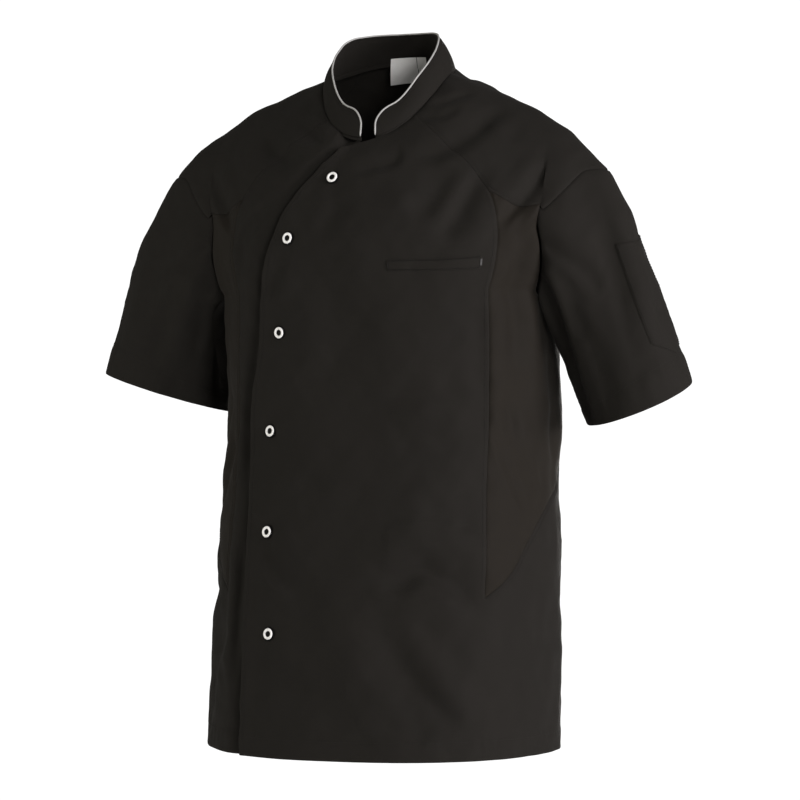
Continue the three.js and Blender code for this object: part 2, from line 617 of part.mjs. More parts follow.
const CORNER_STEPS = [0, 0.5, 1.8, 4, 7.5, 12, 17];  // degrees from a front end, closer at its corner
const CORNER_ANGLE = 24;
function collarAngles() {
  const between = steps(28).map((f) => lerp(COLLAR_START + CORNER_ANGLE, COLLAR_END - CORNER_ANGLE, f));
  const first = CORNER_STEPS.map((angle) => COLLAR_START + angle);
  const last = flip(CORNER_STEPS).map((angle) => COLLAR_END - angle);
  return [...first, ...between, ...last];
}

function collar() {
  const rows = steps(3).map((f) => collarAngles().map((angle) => collarPlace(angle, f * collarTop(angle))));
  return new Sheet().addGrid(rows).close();
}

// Light piping on the outer face, just under the collar's edge, from front end to front end
const PIPING_DROP = 0.7;
const PIPING_SIDES = 8;
const PIPING_STEPS = 76;
function collarPiping() {
  const rising = [0.04, 0.5].map((f) => [COLLAR_START, f * collarTop(COLLAR_START)]);
  const falling = flip(rising).map(([, height]) => [COLLAR_END, height]);
  const edge = collarAngles().map((angle) => [angle, collarTop(angle)]);
  const pairs = [...rising, ...edge, ...falling];
  const line = pairs.map(([angle, height]) => collarPlace(angle, height));
  const points = line.map((place, i) => {
    const before = line[Math.max(i - 1, 0)].outer;
    const after = line[Math.min(i + 1, line.length - 1)].outer;
    const inward = after.clone().sub(before).cross(place.normal).normalize();
    return place.outer.clone().addScaledVector(place.normal, PIPING_RADIUS + TRIM_GAP)
      .addScaledVector(inward, PIPING_DROP);
  });
  const section = new THREE.Shape(steps(PIPING_SIDES).slice(1).map((f) => new THREE.Vector2(
    PIPING_RADIUS * Math.cos(2 * Math.PI * f), PIPING_RADIUS * Math.sin(2 * Math.PI * f))));
  return new THREE.ExtrudeGeometry(section, {
    steps: PIPING_STEPS, bevelEnabled: false, extrudePath: new THREE.CatmullRomCurve3(points),
  });
}

// A ring snap: a domed ring with a sunk middle, turned about its own axis
const SNAP_PROFILE = {
  columns: ['shareOfRadius', 'shareOfHeight'],
  rows: [[0, 0], [1, 0], [1, 0.36], [0.8, 1], [0.42, 1], [0.3, 0.55], [0, 0.55]],
};
const SNAP_SIDES = 14;
function snapGeometry() {
  const profile = SNAP_PROFILE.rows.map(([r, h]) => new THREE.Vector2(r * SNAP_RADIUS, h * SNAP_HEIGHT));
  return new THREE.LatheGeometry(profile, SNAP_SIDES);
}

function chestWelt() {
  const middle = bodyPlace(WELT.angle, WELT.level).outer;
  const perDegree = bodyPlace(WELT.angle + 1, WELT.level).outer.distanceTo(middle);
  const grid = steps(2).map((g) => steps(FRONT_COLUMNS).map((f) => {
    const angle = WELT.angle + (f - 0.5) * WELT.length / perDegree;
    const level = WELT.level + (f - 0.5) * WELT.slant + (g - 0.5) * WELT.width;
    return bodyPlace(angle, level, TRIM_GAP + TRIM_WALL, TRIM_WALL);
  }));
  return new Sheet().addGrid(grid).close();
}

function sleevePocket(side) {
  const { column, row, halfWidth, length, pointRise, tipHalf, lean } = SLEEVE_POCKET;
  const faces = sleeveRows(side);
  const at = (i, j) => onFaces(faces, i, j, SLEEVE_TRIM_GAP + TRIM_WALL, TRIM_WALL);
  const perColumn = at(column + 0.5, row + 1).outer.distanceTo(at(column - 0.5, row + 1).outer);
  const perRow = at(column, row + 1).outer.distanceTo(at(column, row).outer);
  const grid = steps(16).map((down) => steps(8).map((f) => {
    const half = Math.min(halfWidth, lerp(halfWidth, tipHalf, 1 - (1 - down) * length / pointRise));
    const aside = lerp(half, -half, f) + lean * down;
    return at(column + aside / perColumn, row + down * length / perRow);
  }));
  return new Sheet().addGrid(grid).close();
}

// A label sewn at the back neck, on the inside of the back panel
const NECK_DEGREE_MM = 1.3;
const LABEL_TOP = -2;
function backLabel({ from, to, drop }) {
  const inward = -CLOTH - 2 * TRIM_GAP;
  const grid = steps(3).map((g) => steps(4).map((f) => bodyPlace(
    180 - lerp(from, to, f) / NECK_DEGREE_MM, LABEL_TOP - drop * g, inward, TRIM_WALL)));
  return new Sheet().addGrid(grid).close();
}

const jacket = new THREE.Group();

function addPiece(name, geometry, finish) {
  const mesh = new THREE.Mesh(geometry, new THREE.MeshStandardMaterial(finish));
  mesh.name = name;
  jacket.add(mesh);
  return mesh;
}

// The underlapping front drops under the overlapping one, a little before the closing edge
const closingAngle = (() => {
  const rows = flip([[-16, 0], ...OVERLAP_EDGE]).map(([angle, level]) => [level, -angle]);
  return (level) => along(rows, level)[0];
})();
const underlapLift = (angle, level) => {
  const edge = closingAngle(level);
  return -LAYER_DROP * (1 - smoothstep(angle, edge + LAYER_RAMP.from, edge + LAYER_RAMP.to));
};

addPiece('front_left', front(1, OVERLAP_TOP, OVERLAP_EDGE, () => 0), DARK_TWILL);
addPiece('front_right', front(-1, UNDERLAP_TOP, UNDERLAP_EDGE, underlapLift), DARK_TWILL);
addPiece('back', back(), DARK_TWILL);
addPiece('collar', collar(), DARK_TWILL);
addPiece('collar_piping', collarPiping(), LIGHT_PIPING);
[['left', 1], ['right', -1]].forEach(([word, side]) => {
  addPiece(`side_insert_${word}`, sideInsert(side), STRETCH_CLOTH);
  addPiece(`yoke_${word}`, yoke(side), DARK_TWILL);
  addPiece(`sleeve_${word}`, sleeve(side), DARK_TWILL);
});
addPiece('chest_pocket_welt', chestWelt(), DARK_TWILL);
addPiece('sleeve_pocket', sleevePocket(1), DARK_TWILL);
addPiece('neck_label', backLabel(LABEL), LABEL_CLOTH);
addPiece('size_tab', backLabel(SIZE_TAB), LABEL_CLOTH);
SNAPS.rows.forEach(([angle, level], i) => {
  const seat = bodyPlace(angle, level, TRIM_GAP);
  const snap = addPiece(`snap_${i + 1}`, snapGeometry(), LIGHT_SNAP);
  snap.position.copy(seat.outer);
  snap.quaternion.setFromUnitVectors(new THREE.Vector3(0, 1, 0), seat.normal);
});

export default jacket;
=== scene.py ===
"""Chef jacket with short sleeves, filled out as when worn: cloth, seams, snaps and piping."""
import math

import bpy
import numpy as np
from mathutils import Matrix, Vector
from mathutils.kdtree import KDTree


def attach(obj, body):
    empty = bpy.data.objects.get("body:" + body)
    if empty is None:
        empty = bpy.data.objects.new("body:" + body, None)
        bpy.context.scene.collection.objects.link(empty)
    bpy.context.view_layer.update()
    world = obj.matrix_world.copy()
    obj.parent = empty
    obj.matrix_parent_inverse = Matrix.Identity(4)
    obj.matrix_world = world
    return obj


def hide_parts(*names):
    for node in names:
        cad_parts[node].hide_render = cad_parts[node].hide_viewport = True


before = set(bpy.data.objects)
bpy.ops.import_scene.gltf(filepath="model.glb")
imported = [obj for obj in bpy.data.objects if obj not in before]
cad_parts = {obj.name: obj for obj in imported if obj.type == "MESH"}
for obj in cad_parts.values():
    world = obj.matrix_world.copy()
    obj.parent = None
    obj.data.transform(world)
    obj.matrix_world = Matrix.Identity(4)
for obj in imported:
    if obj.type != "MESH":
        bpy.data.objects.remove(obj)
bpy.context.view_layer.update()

# The jacket's form is worked out in millimetres, in the frame's axes, and made in metres.
MM = 0.001
HEM_Z = -733
ARMPIT_Z = -240

# Body sections from the hem up: z, half width, front depth, back depth, centre y, roundness
BODY_SECTIONS = np.array([
    (-733, 196, 148, 118, -2, 0.86),
    (-600, 193, 144, 118, 6, 0.86),
    (-450, 188, 138, 122, 21, 0.86),
    (-330, 186, 132, 128, 27, 0.86),
    (-240, 187, 124, 130, 18, 0.88),
])
NECK_HALF_WIDTH = 73
NECK_FRONT = {"y": -62, "z": -74, "bend": 1.35}
NECK_SIDE = {"y": 17, "z": 2}
NECK_BACK = {"y": 78, "z": 24, "bend": 1.2}
NECK_ROUNDNESS = 0.93
RIM = {"half_width": 58, "front_y": -52, "side_y": 1, "back_y": 61}
# The collar's upper edge: angle from the front centre, z
RIM_HEIGHTS = np.array([(0, -44), (30, -35), (60, -4), (90, 23), (105, 37), (120, 45.5), (135, 49),
                        (150, 51), (180, 52)])

# Handles of the curves that carry a body section up to the neck
SHOULDER_OUTER = {"x": 300, "y": 6, "z": -64, "swing": 52}
SHOULDER_INNER = {"x": 93, "y": -8, "z": -48, "swing": 10}
SHOULDER_FOCUS = 5
CHEST_RISE = 75
BACK_RISE = 95
CHEST_FALL = (50, -38, -52)
BACK_FALL = (50, 44, -40)

# The armhole on the body: turn around the sleeve from its top, body angle, body level
ARMHOLE = np.array([
    (0, 91, -102), (40, 74, -115), (81, 62, -172), (110, 62.5, -202), (145, 73, -237),
    (180, 92, -258), (215, 113, -237), (250, 121, -206), (279, 118, -172), (320, 108, -115),
])
CUFFS = {
    1: {"x": 283, "y": 20, "z": -361, "long": 68, "short": 46, "twist": 35,
        "rise_out": 0.4, "rise_back": 0.3},
    -1: {"x": 272, "y": 20, "z": -349, "long": 72, "short": 48, "twist": 25,
         "rise_out": 0.32, "rise_back": -0.03},
}
SLEEVE_AXIS = np.array((0.356, 0.03, -0.934))
SLEEVE_LEAVE = (58, 44.5, 14.5)
SLEEVE_ARRIVE = (78, 38, 10)
SLEEVE_LENGTH = 240

# Seams on the wearer's left, as body angle and level
FRONT_SEAM_ANGLE = 48
SIDE_SEAM_ANGLE = 102
BACK_SEAM_ANGLE = 132
YOKE_ANGLE = 43
YOKE_END = 81
INSERT_MIDDLE = -340
INSERT_BACK = -385
INSERT_SIDE = -434
INSERT_TIP = -565
YOKE_INNER = [(YOKE_ANGLE, 0), (46, -50), (48, -95), (49, -138)]
YOKE_OUTER = [(49, -138), (53, -156), (57, -167), (62, -172)]
INSERT_UPPER = [(49, -138), (FRONT_SEAM_ANGLE, -220), (FRONT_SEAM_ANGLE, INSERT_MIDDLE)]
INSERT_LOWER = [(FRONT_SEAM_ANGLE, INSERT_MIDDLE), (FRONT_SEAM_ANGLE, INSERT_TIP)]
INSERT_FRONT_HEM = [(FRONT_SEAM_ANGLE, INSERT_TIP), (59, -543), (70.5, -505), (81, -475),
                    (91.5, -455), (SIDE_SEAM_ANGLE, INSERT_SIDE)]
INSERT_BACK_HEM = [(SIDE_SEAM_ANGLE, INSERT_SIDE), (112, -415), (122, -398),
                   (BACK_SEAM_ANGLE, INSERT_BACK)]
UNDER_FRONT = [(FRONT_SEAM_ANGLE, INSERT_MIDDLE), (66, -318), (80, -284), (92, -258)]
OVERLAP_TOP = [(-14.5, -25), (-9, -16), (-2, -9), (6, -4), (14, 0), (28, 0), (YOKE_ANGLE, 0)]
OVERLAP_UPPER = [(-14.5, -25), (-20.5, -59), (-26.5, -118), (-29.5, -186), (-32, -245),
                 (-33.5, -310), (-36.5, -365), (-36.5, -430), (-35.5, -489), (-33.5, INSERT_TIP)]
OVERLAP_LOWER = [(-33.5, INSERT_TIP), (-33, -650), (-32.5, HEM_Z)]
UNDERLAP_TOP = [(-6, -14), (2, -5), (9, 0), (25, 0), (YOKE_ANGLE, 0)]
UNDERLAP_UPPER = [(-6, -14), (-1, -80), (3, -180), (6, -300), (8, -450), (8, INSERT_TIP)]
UNDERLAP_LOWER = [(8, INSERT_TIP), (8, HEM_Z)]
LAYER_DROP = 3.1
LAYER_RAMP = (4, 10)


def power(value, exponent):
    return np.sign(value) * np.abs(value) ** exponent


def smoothstep(x, low, high):
    t = np.clip((x - low) / (high - low), 0, 1)
    return t * t * (3 - 2 * t)


def unit(vectors):
    return vectors / np.maximum(np.linalg.norm(vectors, axis=-1, keepdims=True), 1e-12)


def sine_cosine(angle):
    return np.sin(np.radians(angle)), np.cos(np.radians(angle))


def along(rows, at, period=0):
    """Smooth curve through a table's rows by the first column; a period makes it closed."""
    rows = np.asarray(rows, float)
    at = np.asarray(at, float)
    lap = np.zeros(rows.shape[1])
    lap[0] = period
    if period:
        table = np.vstack([rows[-2:] - lap, rows, rows[:3] + lap])
        x = rows[0, 0] + np.mod(at - rows[0, 0], period)
        first, last = 2, len(rows) + 1
    else:
        table = np.vstack([rows[:1], rows, rows[-1:]])
        x = np.clip(at, rows[0, 0], rows[-1, 0])
        first, last = 1, len(rows) - 1
    i = np.clip(np.searchsorted(table[:, 0], x, side="right") - 1, first, last)
    before, start, end = table[i - 1], table[i], table[i + 1]
    after = table[np.minimum(i + 2, len(table) - 1)]
    span = end[..., :1] - start[..., :1]
    t = (x[..., None] - start[..., :1]) / span
    slope_a = (end - before) / (end[..., :1] - before[..., :1]) * span
    slope_b = (after - start) / (after[..., :1] - start[..., :1]) * span
    value = ((2 * t**3 - 3 * t**2 + 1) * start + (t**3 - 2 * t**2 + t) * slope_a
             + (3 * t**2 - 2 * t**3) * end + (t**3 - t**2) * slope_b)
    return np.moveaxis(value[..., 1:], -1, 0)


def body_ring(angle, z):
    half, front, back, centre, roundness = along(BODY_SECTIONS, z)
    s, c = sine_cosine(angle)
    depth = np.where(c > 0, front, back)
    return np.stack([half * power(s, roundness), centre - depth * power(c, roundness), z + 0 * s], -1)


def neck_edge(angle):
    s, c = sine_cosine(angle)
    end_y, end_z, bend = (np.where(c > 0, NECK_FRONT[key], NECK_BACK[key])
                          for key in ("y", "z", "bend"))
    share_y, share_z = np.abs(c) ** NECK_ROUNDNESS, np.abs(c) ** bend
    return np.stack([
        NECK_HALF_WIDTH * power(s, NECK_ROUNDNESS),
        NECK_SIDE["y"] + (end_y - NECK_SIDE["y"]) * share_y,
        NECK_SIDE["z"] + (end_z - NECK_SIDE["z"]) * share_z,
    ], -1)


def bezier(p0, p1, p2, p3, t):
    t = np.asarray(t, float)[..., None]
    u = 1 - t
    return p0 * u**3 + 3 * p1 * t * u**2 + 3 * p2 * t**2 * u + p3 * t**3


def handle(values, s, c):
    x = np.sign(s) * values["x"]
    return np.stack([x, values["y"] - values["swing"] * c, values["z"] + 0 * s], -1)


def body_surface(angle, level):
    """The smooth body: angle from the front centre to the wearer's left, level 0 at the neck."""
    angle, level = np.broadcast_arrays(np.asarray(angle, float), np.asarray(level, float))
    s, c = sine_cosine(angle)
    armpit = np.full_like(angle, ARMPIT_Z)
    start = body_ring(angle, armpit)
    rise = start - body_ring(angle, armpit - 1)
    sideways = (np.abs(s) ** SHOULDER_FOCUS)[..., None]
    front = (c > 0)[..., None]
    p1 = start + rise * np.where(front, CHEST_RISE, BACK_RISE)
    p1 = p1 + (handle(SHOULDER_OUTER, s, c) - p1) * sideways
    end = neck_edge(angle)
    slope = np.where(front, CHEST_FALL, BACK_FALL) * np.stack([s, 1 + 0 * s, 1 + 0 * s], -1)
    p2 = end + slope + (handle(SHOULDER_INNER, s, c) - slope) * sideways
    high = bezier(start, p1, p2, end, 1 - np.maximum(level, ARMPIT_Z) / ARMPIT_Z)
    low = body_ring(angle, np.minimum(level, ARMPIT_Z))
    return np.where((level <= ARMPIT_Z)[..., None], low, high)


def normal_of(surface, u, v, du, dv):
    across = surface(u + du, v) - surface(u - du, v)
    up = surface(u, v + dv) - surface(u, v - dv)
    return unit(np.cross(across, up))


def body_normal(angle, level):
    return normal_of(body_surface, np.asarray(angle, float), np.minimum(level, -0.5), 0.5, 0.5)


def sleeve_surface(side, turn, share):
    """A smooth sleeve: side 1 or -1, turn from its top over the front, share of its length."""
    turn, share = np.broadcast_arrays(np.asarray(turn, float), np.asarray(share, float))
    angle, level = along(ARMHOLE, turn, 360)
    s, c = sine_cosine(turn)
    p0 = body_surface(angle, level)
    onward = body_surface(*along(ARMHOLE, turn + 1, 360)) - p0
    smooth = unit(np.cross(normal_of(body_surface, angle, level, 0.5, 0.5), onward))
    hanging = unit(np.stack([0.52 + 0.35 * c, -0.15 * s, -0.745 + 0.255 * c], -1))
    leave = unit(smooth + (hanging - smooth) * (0.5 + 0.5 * smoothstep(1 - c, 0.2, 0.8))[..., None])
    cuff = CUFFS[side]
    twist_s, twist_c = sine_cosine(cuff["twist"])
    dx = cuff["long"] * c * twist_c - cuff["short"] * s * twist_s
    dy = -cuff["long"] * c * twist_s - cuff["short"] * s * twist_c
    rise = cuff["rise_out"] * dx + cuff["rise_back"] * dy
    p3 = np.stack([cuff["x"] + dx, cuff["y"] + dy, cuff["z"] + rise], -1)
    reach = [(even + linear * c + square * c**2)[..., None]
             for even, linear, square in (SLEEVE_LEAVE, SLEEVE_ARRIVE)]
    point = bezier(p0, p0 + leave * reach[0], p3 - unit(SLEEVE_AXIS) * reach[1], p3, share)
    return point * np.array([side, 1, 1])


def sleeve_normal(side, turn, share):
    def surface(u, v):
        return sleeve_surface(side, u, v)
    share = np.clip(share, 0.01, 0.99)
    return normal_of(surface, np.asarray(turn, float), share, 0.5, 0.005) * side


# The collar: angle around the neck from its front end on the wearer's left, height as a share
COLLAR_START = 8.5
COLLAR_END = 357
COLLAR_BOW = 2.5
COLLAR_SEAT = 0.45
COLLAR_WALL = 2.4
COLLAR_CORNER = 21
COLLAR_FRONT_HEIGHT = 33
COLLAR_DEGREE_MM = 1.25


def rim_edge(angle):
    s, c = sine_cosine(angle)
    end_y = np.where(c > 0, RIM["front_y"], RIM["back_y"])
    z = along(RIM_HEIGHTS, np.where(angle > 180, 360 - angle, angle))[0]
    y = RIM["side_y"] + (end_y - RIM["side_y"]) * np.abs(c) ** NECK_ROUNDNESS
    return np.stack([RIM["half_width"] * power(s, NECK_ROUNDNESS), y, z], -1)


def collar_surface(angle, height):
    angle, height = np.broadcast_arrays(np.asarray(angle, float), np.asarray(height, float))
    s, c = sine_cosine(angle)
    base = neck_edge(angle) + np.array([0, 0, COLLAR_SEAT])
    bow = COLLAR_BOW * np.sin(np.pi * height)
    bulge = np.stack([s * bow, -c * bow, 0 * s], -1)
    return base + (rim_edge(angle) - base) * height[..., None] + bulge


def collar_normal(angle, height):
    height = np.clip(height, 0.02, 0.98)
    return normal_of(collar_surface, np.asarray(angle, float), height, 0.5, 0.01)


def collar_top(angle):
    """Height of the collar's edge as a share: its front corners are rounded."""
    from_end = np.minimum(angle - COLLAR_START, COLLAR_END - angle) * COLLAR_DEGREE_MM
    d = np.clip(COLLAR_CORNER - from_end, 0, COLLAR_CORNER)
    return 1 - (COLLAR_CORNER - np.sqrt(COLLAR_CORNER**2 - d**2)) / COLLAR_FRONT_HEIGHT


# Cloth thickness, height of the turned-up hems, and the gap between two pieces at a seam, in mm
CLOTH = 0.9
HEM_BAND = 21
SEAM_GAP = 0.16
# The seam allowance under a neighbour: how far it reaches on, and how deep it lies
ALLOWANCE = [(5.0, 2.6), (1.6, 1.7)]
# The closing edge springs up, the cloth beside it dips, and the front hem hangs lower
EDGE_SPRING = 3.6
EDGE_DIP = 5.2
HEM_SAG = 4.5
# Length of a degree around the body, a sleeve and a sleeve's head
DEGREE_MM = 3.2
TURN_MM = 1.15
HEAD_TURN_MM = 1.35
# A sleeve is shorter than its middle line near the cuff's stitches
SLEEVE_SHORTER = 0.86
CAP = {"least": 0.035, "more": 0.215, "bend": 0.9}
CAP_STEP = 1.5
# Grid steps: the usual one, the closer ones beside a seam or an edge, and each piece's span
GRID_MM = 3.7
NEAR_EDGE = (0, 0.25, 0.8, 1.7, 3.2)
SPANS = {"front": 258, "back": 305, "yoke": 250, "sleeve_head": 58, "sleeve": 205, "collar": 44}
SLEEVE_UNDER_STEPS = 62

# Snap centres on the overlapping front: body angle, level
SNAPS = [(-11.5, -74), (-22.5, -174), (-24, -285), (-27, -391), (-25.5, -499), (-22, -606)]

# Folds on the body: places along the fold (body angle, level), half width, height (a trough is
# below 0), and how much more the cloth stands up on the fold's left than on its right
BODY_FOLDS = [
    # wearer's left chest and shoulder
    ([(33, -61), (48.5, -67), (66, -62), (76.5, -59.5)], 13, -2.6, 0.3),
    ([(31, -176), (35, -161.5), (46, -124), (52, -110)], 11, -2.4, -0.3),
    ([(22, -150), (30, -128), (41, -92)], 13, -1.3, 0.2),
    ([(50, -178), (54, -167.5), (61, -154), (69, -137.5)], 8, -2.4, 0.4),
    ([(56, -190), (63, -172), (70, -150)], 7, 1.9, 0.0),
    ([(1, -66), (4, -59.5), (21, -52), (24.5, -29.5)], 9, -1.6, 0.5),
    ([(44.5, -10), (50, -22), (55, -29.5), (63, -34)], 6, -1.4, 0.2),
    ([(55.5, -8.5), (62, -17), (69.5, -23.5), (78, -30)], 6, -1.2, -0.2),
    ([(-16.5, -190), (-5, -250), (-2, -335.5)], 26, -1.7, 0.2),
    ([(-22.5, -202), (-26, -225), (-28.5, -248.5)], 10, -1.4, -0.4),
    ([(-4.5, -112), (-7, -146), (-9.5, -175)], 12, -1.3, 0.3),
    ([(14, -100), (20, -150), (23, -205)], 22, 1.2, 0.0),
    # wearer's left front, down to the hem
    ([(11, -352), (24.5, -344.5), (39.5, -341.5)], 18, -1, 0.4),
    ([(13, -388), (28.5, -404.5), (40, -408)], 20, -0.9, -0.3),
    ([(22, -461.5), (33, -482.5), (43, -490)], 20, -1, 0.3),
    ([(8, -549), (14, -550), (25, -538), (36, -551), (45.5, -572)], 16, -3.4, 0.5),
    ([(15, -582), (27, -576), (41, -599)], 16, 1.3, 0.0),
    ([(10, -596), (15, -615), (25.5, -667), (40, -704)], 20, -2.6, -0.4),
    ([(20, -604), (32, -648), (44, -680)], 18, 1.4, 0.0),
    ([(10, -690), (16.5, -695.5), (27.5, -704.5)], 14, -1.3, 0.2),
    ([(-3, -560), (2, -610), (4, -668)], 26, 1.2, 0.0),
    ([(-29, -508), (-23.5, -533.5), (-18.5, -548.5), (-8, -566)], 12, -1.7, 0.4),
    ([(-30, -618), (-20, -640), (-6, -668)], 17, -1.3, -0.4),
    ([(-26, -410), (-14, -438), (-4, -450)], 17, -0.9, 0.3),
    ([(-22, -300), (-10, -330), (2, -344)], 20, -0.8, 0.3),
    # side insert, wearer's left
    ([(46.5, -212.5), (49.5, -304), (51, -409)], 10, 1.2, 0.3),
    ([(50.5, -388), (58.5, -431.5), (67, -473.5)], 8, -1.6, 0.4),
    ([(55.5, -356.5), (63.5, -410.5), (73.5, -452.5)], 9, -1.7, -0.3),
    ([(60.5, -194.5), (70, -240), (73, -300), (73, -356.5)], 13, 1.6, 0.0),
    ([(56, -200), (60, -262), (60, -330)], 10, -1.3, 0.3),
    ([(84, -300), (88, -362), (90, -430)], 13, -1.7, 0.3),
    ([(66, -500), (76, -560), (80, -640)], 18, -0.7, 0.3),
    ([(54, -590), (62, -650), (66, -715)], 18, -0.7, -0.3),
    ([(92, -560), (98, -640), (96, -715)], 19, 0.6, 0.0),
    # wearer's right front and side
    ([(-41, -509.5), (-40.5, -574), (-40, -659.5)], 8, -2.4, 0.3),
    ([(-37, -280), (-41, -360), (-42, -450)], 8, -1.9, -0.3),
    ([(-34, -120), (-42, -170), (-46, -235)], 9, -1.9, 0.3),
    ([(-50, -180), (-57, -160), (-67, -138)], 8, -2.4, -0.4),
    ([(-36, -66), (-48, -72), (-64, -66)], 12, -2.2, 0.3),
    ([(-30, -30), (-42, -26), (-54, -32)], 7, -1.4, 0.3),
    ([(-52, -400), (-60, -440), (-71, -478)], 9, -2.2, 0.3),
    ([(-58, -350), (-66, -400), (-76, -446)], 10, -1.9, -0.3),
    ([(-62, -205), (-72, -262), (-74, -345)], 13, 1.9, 0.0),
    ([(-56, -540), (-70, -560), (-86, -600)], 15, -2.4, 0.4),
    ([(-46, -600), (-58, -650), (-62, -712)], 15, -2.2, -0.3),
    ([(-84, -610), (-94, -660), (-98, -718)], 17, 2.1, 0.0),
    ([(-82, -300), (-88, -360), (-92, -430)], 12, -2.1, 0.3),
    # back
    ([(176, -72), (165, -104), (150, -146), (138, -168)], 14, -2.4, 0.3),
    ([(186, -78), (198, -112), (212, -152), (222, -170)], 15, -2.5, -0.3),
    ([(160, -60), (148, -84), (136, -96)], 12, -1.7, 0.3),
    ([(202, -62), (214, -88), (226, -98)], 12, -1.5, 0.3),
    ([(150, -415), (164, -440), (182, -462), (196, -470)], 17, -3.2, 0.4),
    ([(208, -505), (190, -538), (168, -556)], 16, -2.7, -0.4),
    ([(146, -500), (158, -524), (176, -534)], 14, -2, 0.2),
    ([(222, -420), (210, -446), (200, -452)], 13, -1.8, 0.3),
    ([(148, -600), (156, -660), (154, -722)], 19, -2.7, 0.3),
    ([(176, -590), (181, -660), (186, -722)], 20, 2.4, 0.0),
    ([(206, -598), (200, -655), (206, -722)], 18, -2.5, -0.3),
    ([(215, -300), (222, -350), (228, -410)], 14, -2.4, 0.3),
    ([(141, -300), (136, -350), (131, -410)], 13, -2.2, -0.3),
    ([(128, -460), (136, -540), (134, -640)], 15, -2.1, 0.3),
    ([(232, -470), (226, -556), (228, -650)], 15, -2.2, -0.3),
    ([(118, -205), (127, -250), (130, -330)], 12, -2, 0.3),
    ([(242, -200), (233, -250), (230, -330)], 12, -2.1, -0.3),
    ([(168, -230), (176, -300), (172, -370)], 26, 1.7, 0.0),
    ([(194, -240), (188, -310), (193, -380)], 24, -1.4, 0.2),
    ([(110, -600), (116, -660), (113, -722)], 15, -2.1, 0.3),
    ([(250, -590), (244, -655), (247, -722)], 15, -2, 0.3),
]

# Folds on each sleeve: places along the fold (turn, share of the length), then as above; a row
# without a last value is a plain swell or hollow
SLEEVE_FOLDS = {
    1: [
        ([(108, 0.04), (92, 0.2), (70, 0.42), (58, 0.6)], 9, -1.8, 0.4),
        ([(124, 0.1), (108, 0.35), (98, 0.62)], 8, 1.4, 0.0),
        ([(140, 0.05), (126, 0.3), (114, 0.66), (108, 0.94)], 9, -1.9, -0.3),
        ([(60, 0.3), (44, 0.55), (36, 0.86)], 14, -1.2, 0.3),
        ([(24, 0.18), (20, 0.45), (12, 0.8)], 17, 0.9, 0.0),
        ([(4, 0.3), (-8, 0.6), (-12, 0.92)], 16, -1.2, 0.3),
        ([(84, 0.55), (76, 0.78), (74, 0.97)], 10, -1, 0.3),
        ([(160, 0.2), (154, 0.55), (148, 0.95)], 10, -1.4, 0.3),
        ([(262, 0.06), (276, 0.26), (296, 0.5)], 11, -1.8, 0.4),
        ([(244, 0.1), (254, 0.45), (262, 0.85)], 10, -1.5, -0.3),
        ([(222, 0.1), (226, 0.5), (232, 0.95)], 10, -1.5, 0.3),
        ([(286, 0.45), (300, 0.7), (306, 0.94)], 13, -1.2, 0.3),
        ([(320, 0.3), (330, 0.6), (336, 0.9)], 15, 1, 0.0),
        ([(190, 0.1), (188, 0.5), (186, 0.95)], 11, 1.3, 0.0),
    ],
    -1: [
        ([(142, 0.14), (140, 0.4), (142, 0.7), (146, 0.98)], 27, -13.0, None),
        ([(104, 0.05), (88, 0.24), (66, 0.46)], 10, -2.4, 0.4),
        ([(128, 0.08), (112, 0.4), (104, 0.8)], 9, -2.2, -0.3),
        ([(82, 0.4), (70, 0.68), (66, 0.95)], 12, -1.7, 0.3),
        ([(50, 0.3), (38, 0.6), (34, 0.9)], 15, 1.3, 0.0),
        ([(20, 0.3), (12, 0.6), (10, 0.92)], 16, -1.6, 0.3),
        ([(-6, 0.2), (-14, 0.5), (-18, 0.88)], 16, 1.2, 0.0),
        ([(150, 0.1), (144, 0.5), (140, 0.95)], 10, -2, 0.3),
        ([(176, 0.1), (178, 0.5), (176, 0.95)], 11, 1.7, 0.0),
        ([(258, 0.06), (272, 0.28), (292, 0.52)], 11, -2.4, -0.4),
        ([(240, 0.1), (250, 0.5), (256, 0.9)], 10, -2, 0.3),
        ([(214, 0.1), (218, 0.5), (222, 0.95)], 10, -1.9, -0.3),
        ([(284, 0.5), (296, 0.74), (302, 0.95)], 13, -1.6, 0.3),
        ([(318, 0.28), (328, 0.6), (334, 0.92)], 15, 1.3, 0.0),
    ],
}

# Broad fullness over the shoulders: 0 for the body or else the sleeve's side, places (body angle,
# level) or (turn, share), half width, height
SHOULDER_FULLNESS = [
    (0, [(-99, -10), (-96, -40), (-94, -66), (-91, -100)], 27, 4.4),
    (0, [(106, -18), (98, -40)], 16, 2.0),
    (-1, [(-2, 0.0), (-6, 0.2), (-8, 0.5), (-8, 0.8)], 40, 7.5),
    (-1, [(-8, 0.4), (-8, 0.7), (-8, 0.98)], 40, 4.0),
    (1, [(7, 0.2), (6, 0.34), (5, 0.5)], 24, 5.0),
]


def drawn(points):
    """A smooth line through pairs: a function of the share of its length, and that length."""
    points = np.asarray(points, float)
    steps = np.hypot(np.diff(points[:, 0]) * DEGREE_MM, np.diff(points[:, 1]))
    lengths = np.concatenate([[0], np.cumsum(steps)])
    table = np.column_stack([lengths / lengths[-1], points])
    return (lambda f: np.stack(along(table, f), -1)), lengths[-1]


def joined(*parts):
    """One line of several lines that follow each other."""
    lines = [drawn(part) for part in parts]
    ends = np.cumsum([0] + [length for _, length in lines])
    total = ends[-1]

    def line(f):
        at = np.asarray(f, float) * total
        pick = np.clip(np.searchsorted(ends, at, side="right") - 1, 0, len(lines) - 1)
        pairs = np.zeros(at.shape + (2,))
        for number, (function, length) in enumerate(lines):
            mine = pick == number
            pairs[mine] = function((at[mine] - ends[number]) / length)
        return pairs
    return line, total


